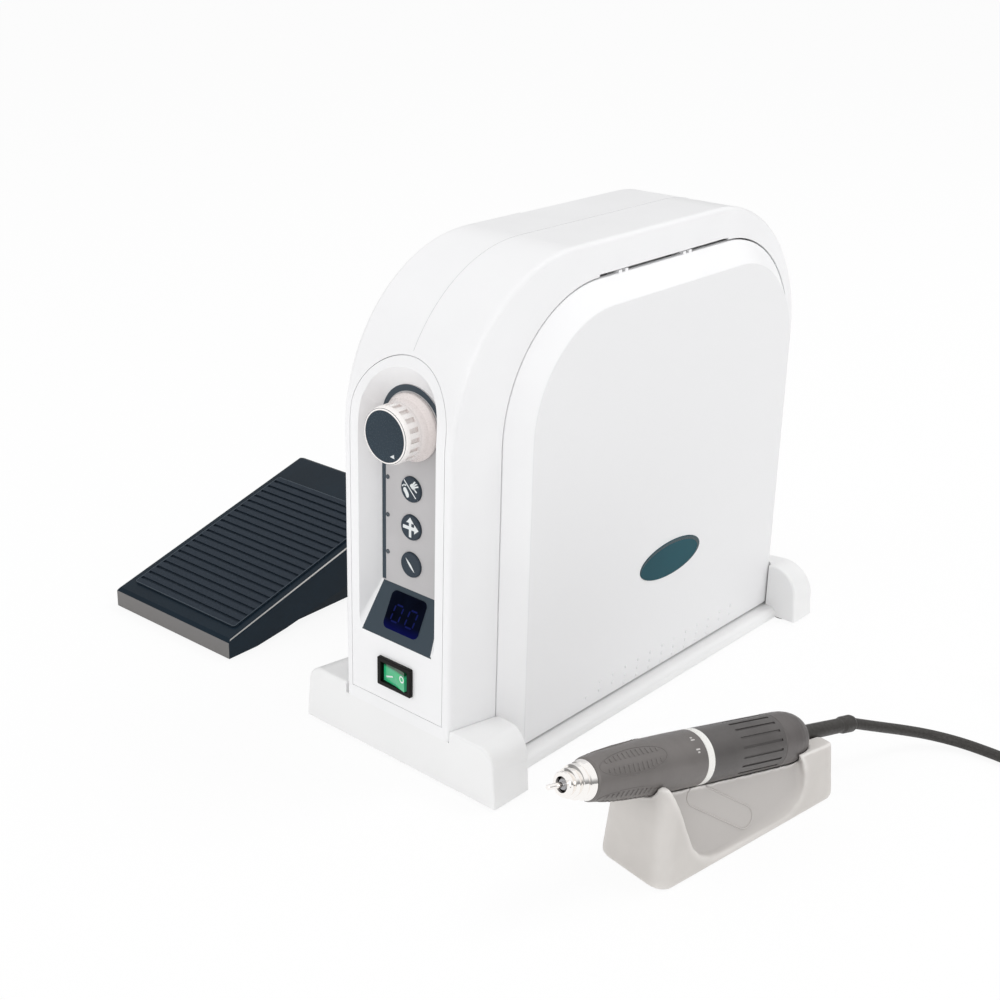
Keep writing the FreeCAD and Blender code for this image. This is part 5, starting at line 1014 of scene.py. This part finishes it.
def on_hand(skin, along, turn):
    """The place on the handpiece's skin, and the way out there."""
    angle = math.radians(turn)
    way = HAND_SIDE * math.cos(angle) + HAND_TOP * math.sin(angle)
    middle = RING_PLACE + HAND_AXIS * along * MM
    met, normal = skin.ray_cast(middle + way * 20 * MM, -way)[:2]
    return met, (normal if normal.dot(way) > 0 else -normal)


def finger_pads():
    """Four oval finger pads round the grip: a fine rim, and two rows of short ribs in each."""
    skin = surface_of("front_sleeve")
    ribs = []
    work = bmesh.new()
    for middle_turn in PAD_TURNS:
        oval = circle((PAD_MIDDLE, middle_turn), PAD_HALF_LONG, PAD_HALF_TURN, 72)
        work.from_mesh(wire([on_hand(skin, along, turn)[0] for along, turn in oval], 0.2))
        for step in range(RIBS_ALONG):
            share = (step - (RIBS_ALONG - 1) / 2) / RIBS_SPREAD
            along = PAD_MIDDLE + share * PAD_HALF_LONG
            reach = math.sqrt(1 - share ** 2) * (PAD_HALF_TURN - RIM_ROOM)
            if reach < RIB_START + SHORTEST_RIB:
                continue
            for side in (-1, 1):
                place, out = on_hand(skin, along, middle_turn + side * (RIB_START + reach) / 2)
                near = on_hand(skin, along, middle_turn + side * RIB_START)[0]
                rib = on_hand(skin, along, middle_turn + side * reach)[0] - near
                ribs.append((place, out, rib.normalized(), (rib.length / MM, 1, 1)))
    mesh = bpy.data.meshes.new("finger_pad_rims")
    bmesh.ops.remove_doubles(work, verts=work.verts, dist=1e-6)
    work.to_mesh(mesh)
    work.free()
    mesh.materials.append(FINISHES["hand_grey"])
    make_piece("finger_pad_rims", mesh, "twist_grip")
    set_ridges("finger_pad_ribs", ribs, (1.0, 1.0, 0.55, 0.6), FINISHES["hand_grey"], "twist_grip")


def grip_ticks():
    """Four plain printed ticks beside the white ring, which show how far the grip is turned."""
    skin = surface_of("front_sleeve")
    ticks = []
    for turn, length in ((74, 1.3), (68, 2.4), (46, 2.4), (40, 1.3)):
        place, out = on_hand(skin, -7.0, turn)
        ticks.append((place, out, HAND_AXIS, (length, 1, 1)))
    set_ridges("grip_ticks", ticks, (1.0, 0.7, 0.12, 0.3), TICK_INK, "twist_grip")


# Cradle
# Nearer to the handpiece's axis than GROOVE_FIRM the skin keeps its place but for LEAST_FREE, and
# over FADE millimetres it comes free.

EVEN_FACE = 0.7
GROOVE_FIRM = 14.5
FADE = 3.5
LEAST_FREE = 0.12


def soft_cradle():
    """The cradle with the soft, full edges of a cast and coated part. Its sides are set straight
    before its faces are made even, and tapered again after it."""
    mesh = copy_of("cradle")
    mesh.transform(TO_CRADLE)
    for vertex in mesh.vertices:
        vertex.co.x *= CRADLE_HALF * MM / (CRADLE_HALF * MM - CRADLE_TAPER * vertex.co.y)
    carrier = bpy.data.objects.new("cradle_soft", mesh)
    remesh = carrier.modifiers.new("even_faces", "REMESH")
    remesh.mode = "VOXEL"
    remesh.voxel_size = EVEN_FACE * MM
    mesh = mesh_of(carrier)
    for vertex in mesh.vertices:
        vertex.co.x *= 1 - CRADLE_TAPER * vertex.co.y / (CRADLE_HALF * MM)
    mesh.transform(TO_CRADLE.inverted())
    carrier = bpy.data.objects.new("cradle_soft", mesh)
    group = carrier.vertex_groups.new(name="free")
    for vertex in mesh.vertices:
        apart = vertex.co - RING_PLACE
        gap = (apart - HAND_AXIS * apart.dot(HAND_AXIS)).length / MM
        free = min(1.0, max(LEAST_FREE, (gap - GROOVE_FIRM) / FADE))
        group.add([vertex.index], free, "REPLACE")
    smooth = carrier.modifiers.new("soft_edges", "SMOOTH")
    smooth.factor = 0.5
    smooth.iterations = 60
    smooth.vertex_group = "free"
    mesh = mesh_of(carrier)
    mesh.materials.clear()
    mesh.materials.append(FINISHES["cradle_grey"])
    piece = make_piece("cradle_soft", mesh, "base")
    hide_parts("cradle")
    return mesh


def cradle_rim(cradle_mesh):
    """A plain raised oval on the cradle's scooped side, with nothing in it."""
    skin = skin_of(cradle_mesh)
    inward = (CRADLE_TURN @ Vector((-29, 0, -7))).normalized()
    middle, long_half, round_half = Vector((44.5, 21.6)), 17.2, 5.3
    along = Vector((35.5, -27)).normalized()
    aside = Vector((-along.y, along.x))
    spots = []
    for end in (1, -1):
        for step in range(17):
            turn = math.radians(-90 + 180 * step / 16)
            spot = along * (long_half + round_half * math.cos(turn)) + aside * round_half * math.sin(turn)
            spots.append(middle + spot * end)
        for step in range(1, 16):
            spots.append(middle + (along * long_half * (1 - step / 8) + aside * round_half) * end)
    line = []
    for spot in spots:
        start = CRADLE_PLACE + CRADLE_TURN @ point(40, spot.x, spot.y + 7)
        line.append(skin.ray_cast(start, inward)[0])
    bead("cradle_oval_rim", line, 0.42, RIM_GREY, "base")


# Cord

CORD_START = RING_PLACE + HAND_LINE * 113 * MM
CORD_ROUTE = [
    (165.4, 25.5, 16.2), (170.2, 39.6, 10.6), (178.9, 52.6, 6.0), (192.5, 60.4, 3.6),
    (210.0, 62.4, 2.9), (232.0, 61.6, 2.72),
]
CORD_RADIUS = 2.65
COIL_X, COIL_Y = 258.0, 100.0
COIL_RADIUS = 38.6
COIL_PITCH = 5.75
COIL_HALVES = 13
LAYER_HALVES = 6
COIL_STEP = 0.9
CORD_LOW = 2.7
PLUG_RUN = 28.0
POINTS_A_HALF = 9


def coil_points():
    """In to the middle, up one layer and out again, a pitch closer each turn."""
    places = []
    for step in range(COIL_HALVES * POINTS_A_HALF + 1):
        half = step / POINTS_A_HALF
        inward = min(half, COIL_HALVES - half, LAYER_HALVES)
        from_climb = max(0.0, abs(half - COIL_HALVES / 2) - 0.5)
        radius = COIL_RADIUS - inward * COIL_PITCH / 2 - COIL_STEP * max(0.0, 1 - from_climb)
        climb = min(1.0, max(0.0, half - LAYER_HALVES))
        turn = math.pi * (half - 0.5)
        places.append((COIL_X + radius * math.cos(turn), COIL_Y + radius * math.sin(turn),
                       CORD_LOW + COIL_PITCH * climb))
    return places


def make_cord():
    """The handpiece's cord as one smooth line, from its strain relief to its plug."""
    coil = coil_points()
    plug_place = (COIL_X - PLUG_RUN, coil[-1][1], coil[-1][2])
    places = [CORD_START] + [point(*place) for place in CORD_ROUTE + coil + [plug_place]]
    data = bpy.data.curves.new("handpiece_cable", "CURVE")
    data.dimensions = "3D"
    spline = data.splines.new("NURBS")
    spline.points.add(len(places) - 1)
    for knot, place in zip(spline.points, places):
        knot.co = (*place, 1.0)
    spline.order_u = 3
    spline.use_endpoint_u = True
    spline.resolution_u = 5
    data.bevel_depth = CORD_RADIUS * MM
    data.bevel_resolution = 5
    data.use_fill_caps = True
    data.materials.append(FINISHES["cord_dark"])
    cable = bpy.data.objects.new("handpiece_cable", data)
    link(cable)
    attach(cable, "base")
    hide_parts("handpiece_cord")


make_camera()
make_cord()
make_world()
make_stage()
dress_nodes()
edge_print()
slope_print()
display_digits()
key_pictures()
knob_marks()
rocker_marks()
casing_seam()
badge_rim()
plate_bumps()
mat_edge()
live_springs()
finger_pads()
grip_ticks()
cradle_rim(soft_cradle())
bpy.context.scene.view_settings.view_transform = "Standard"
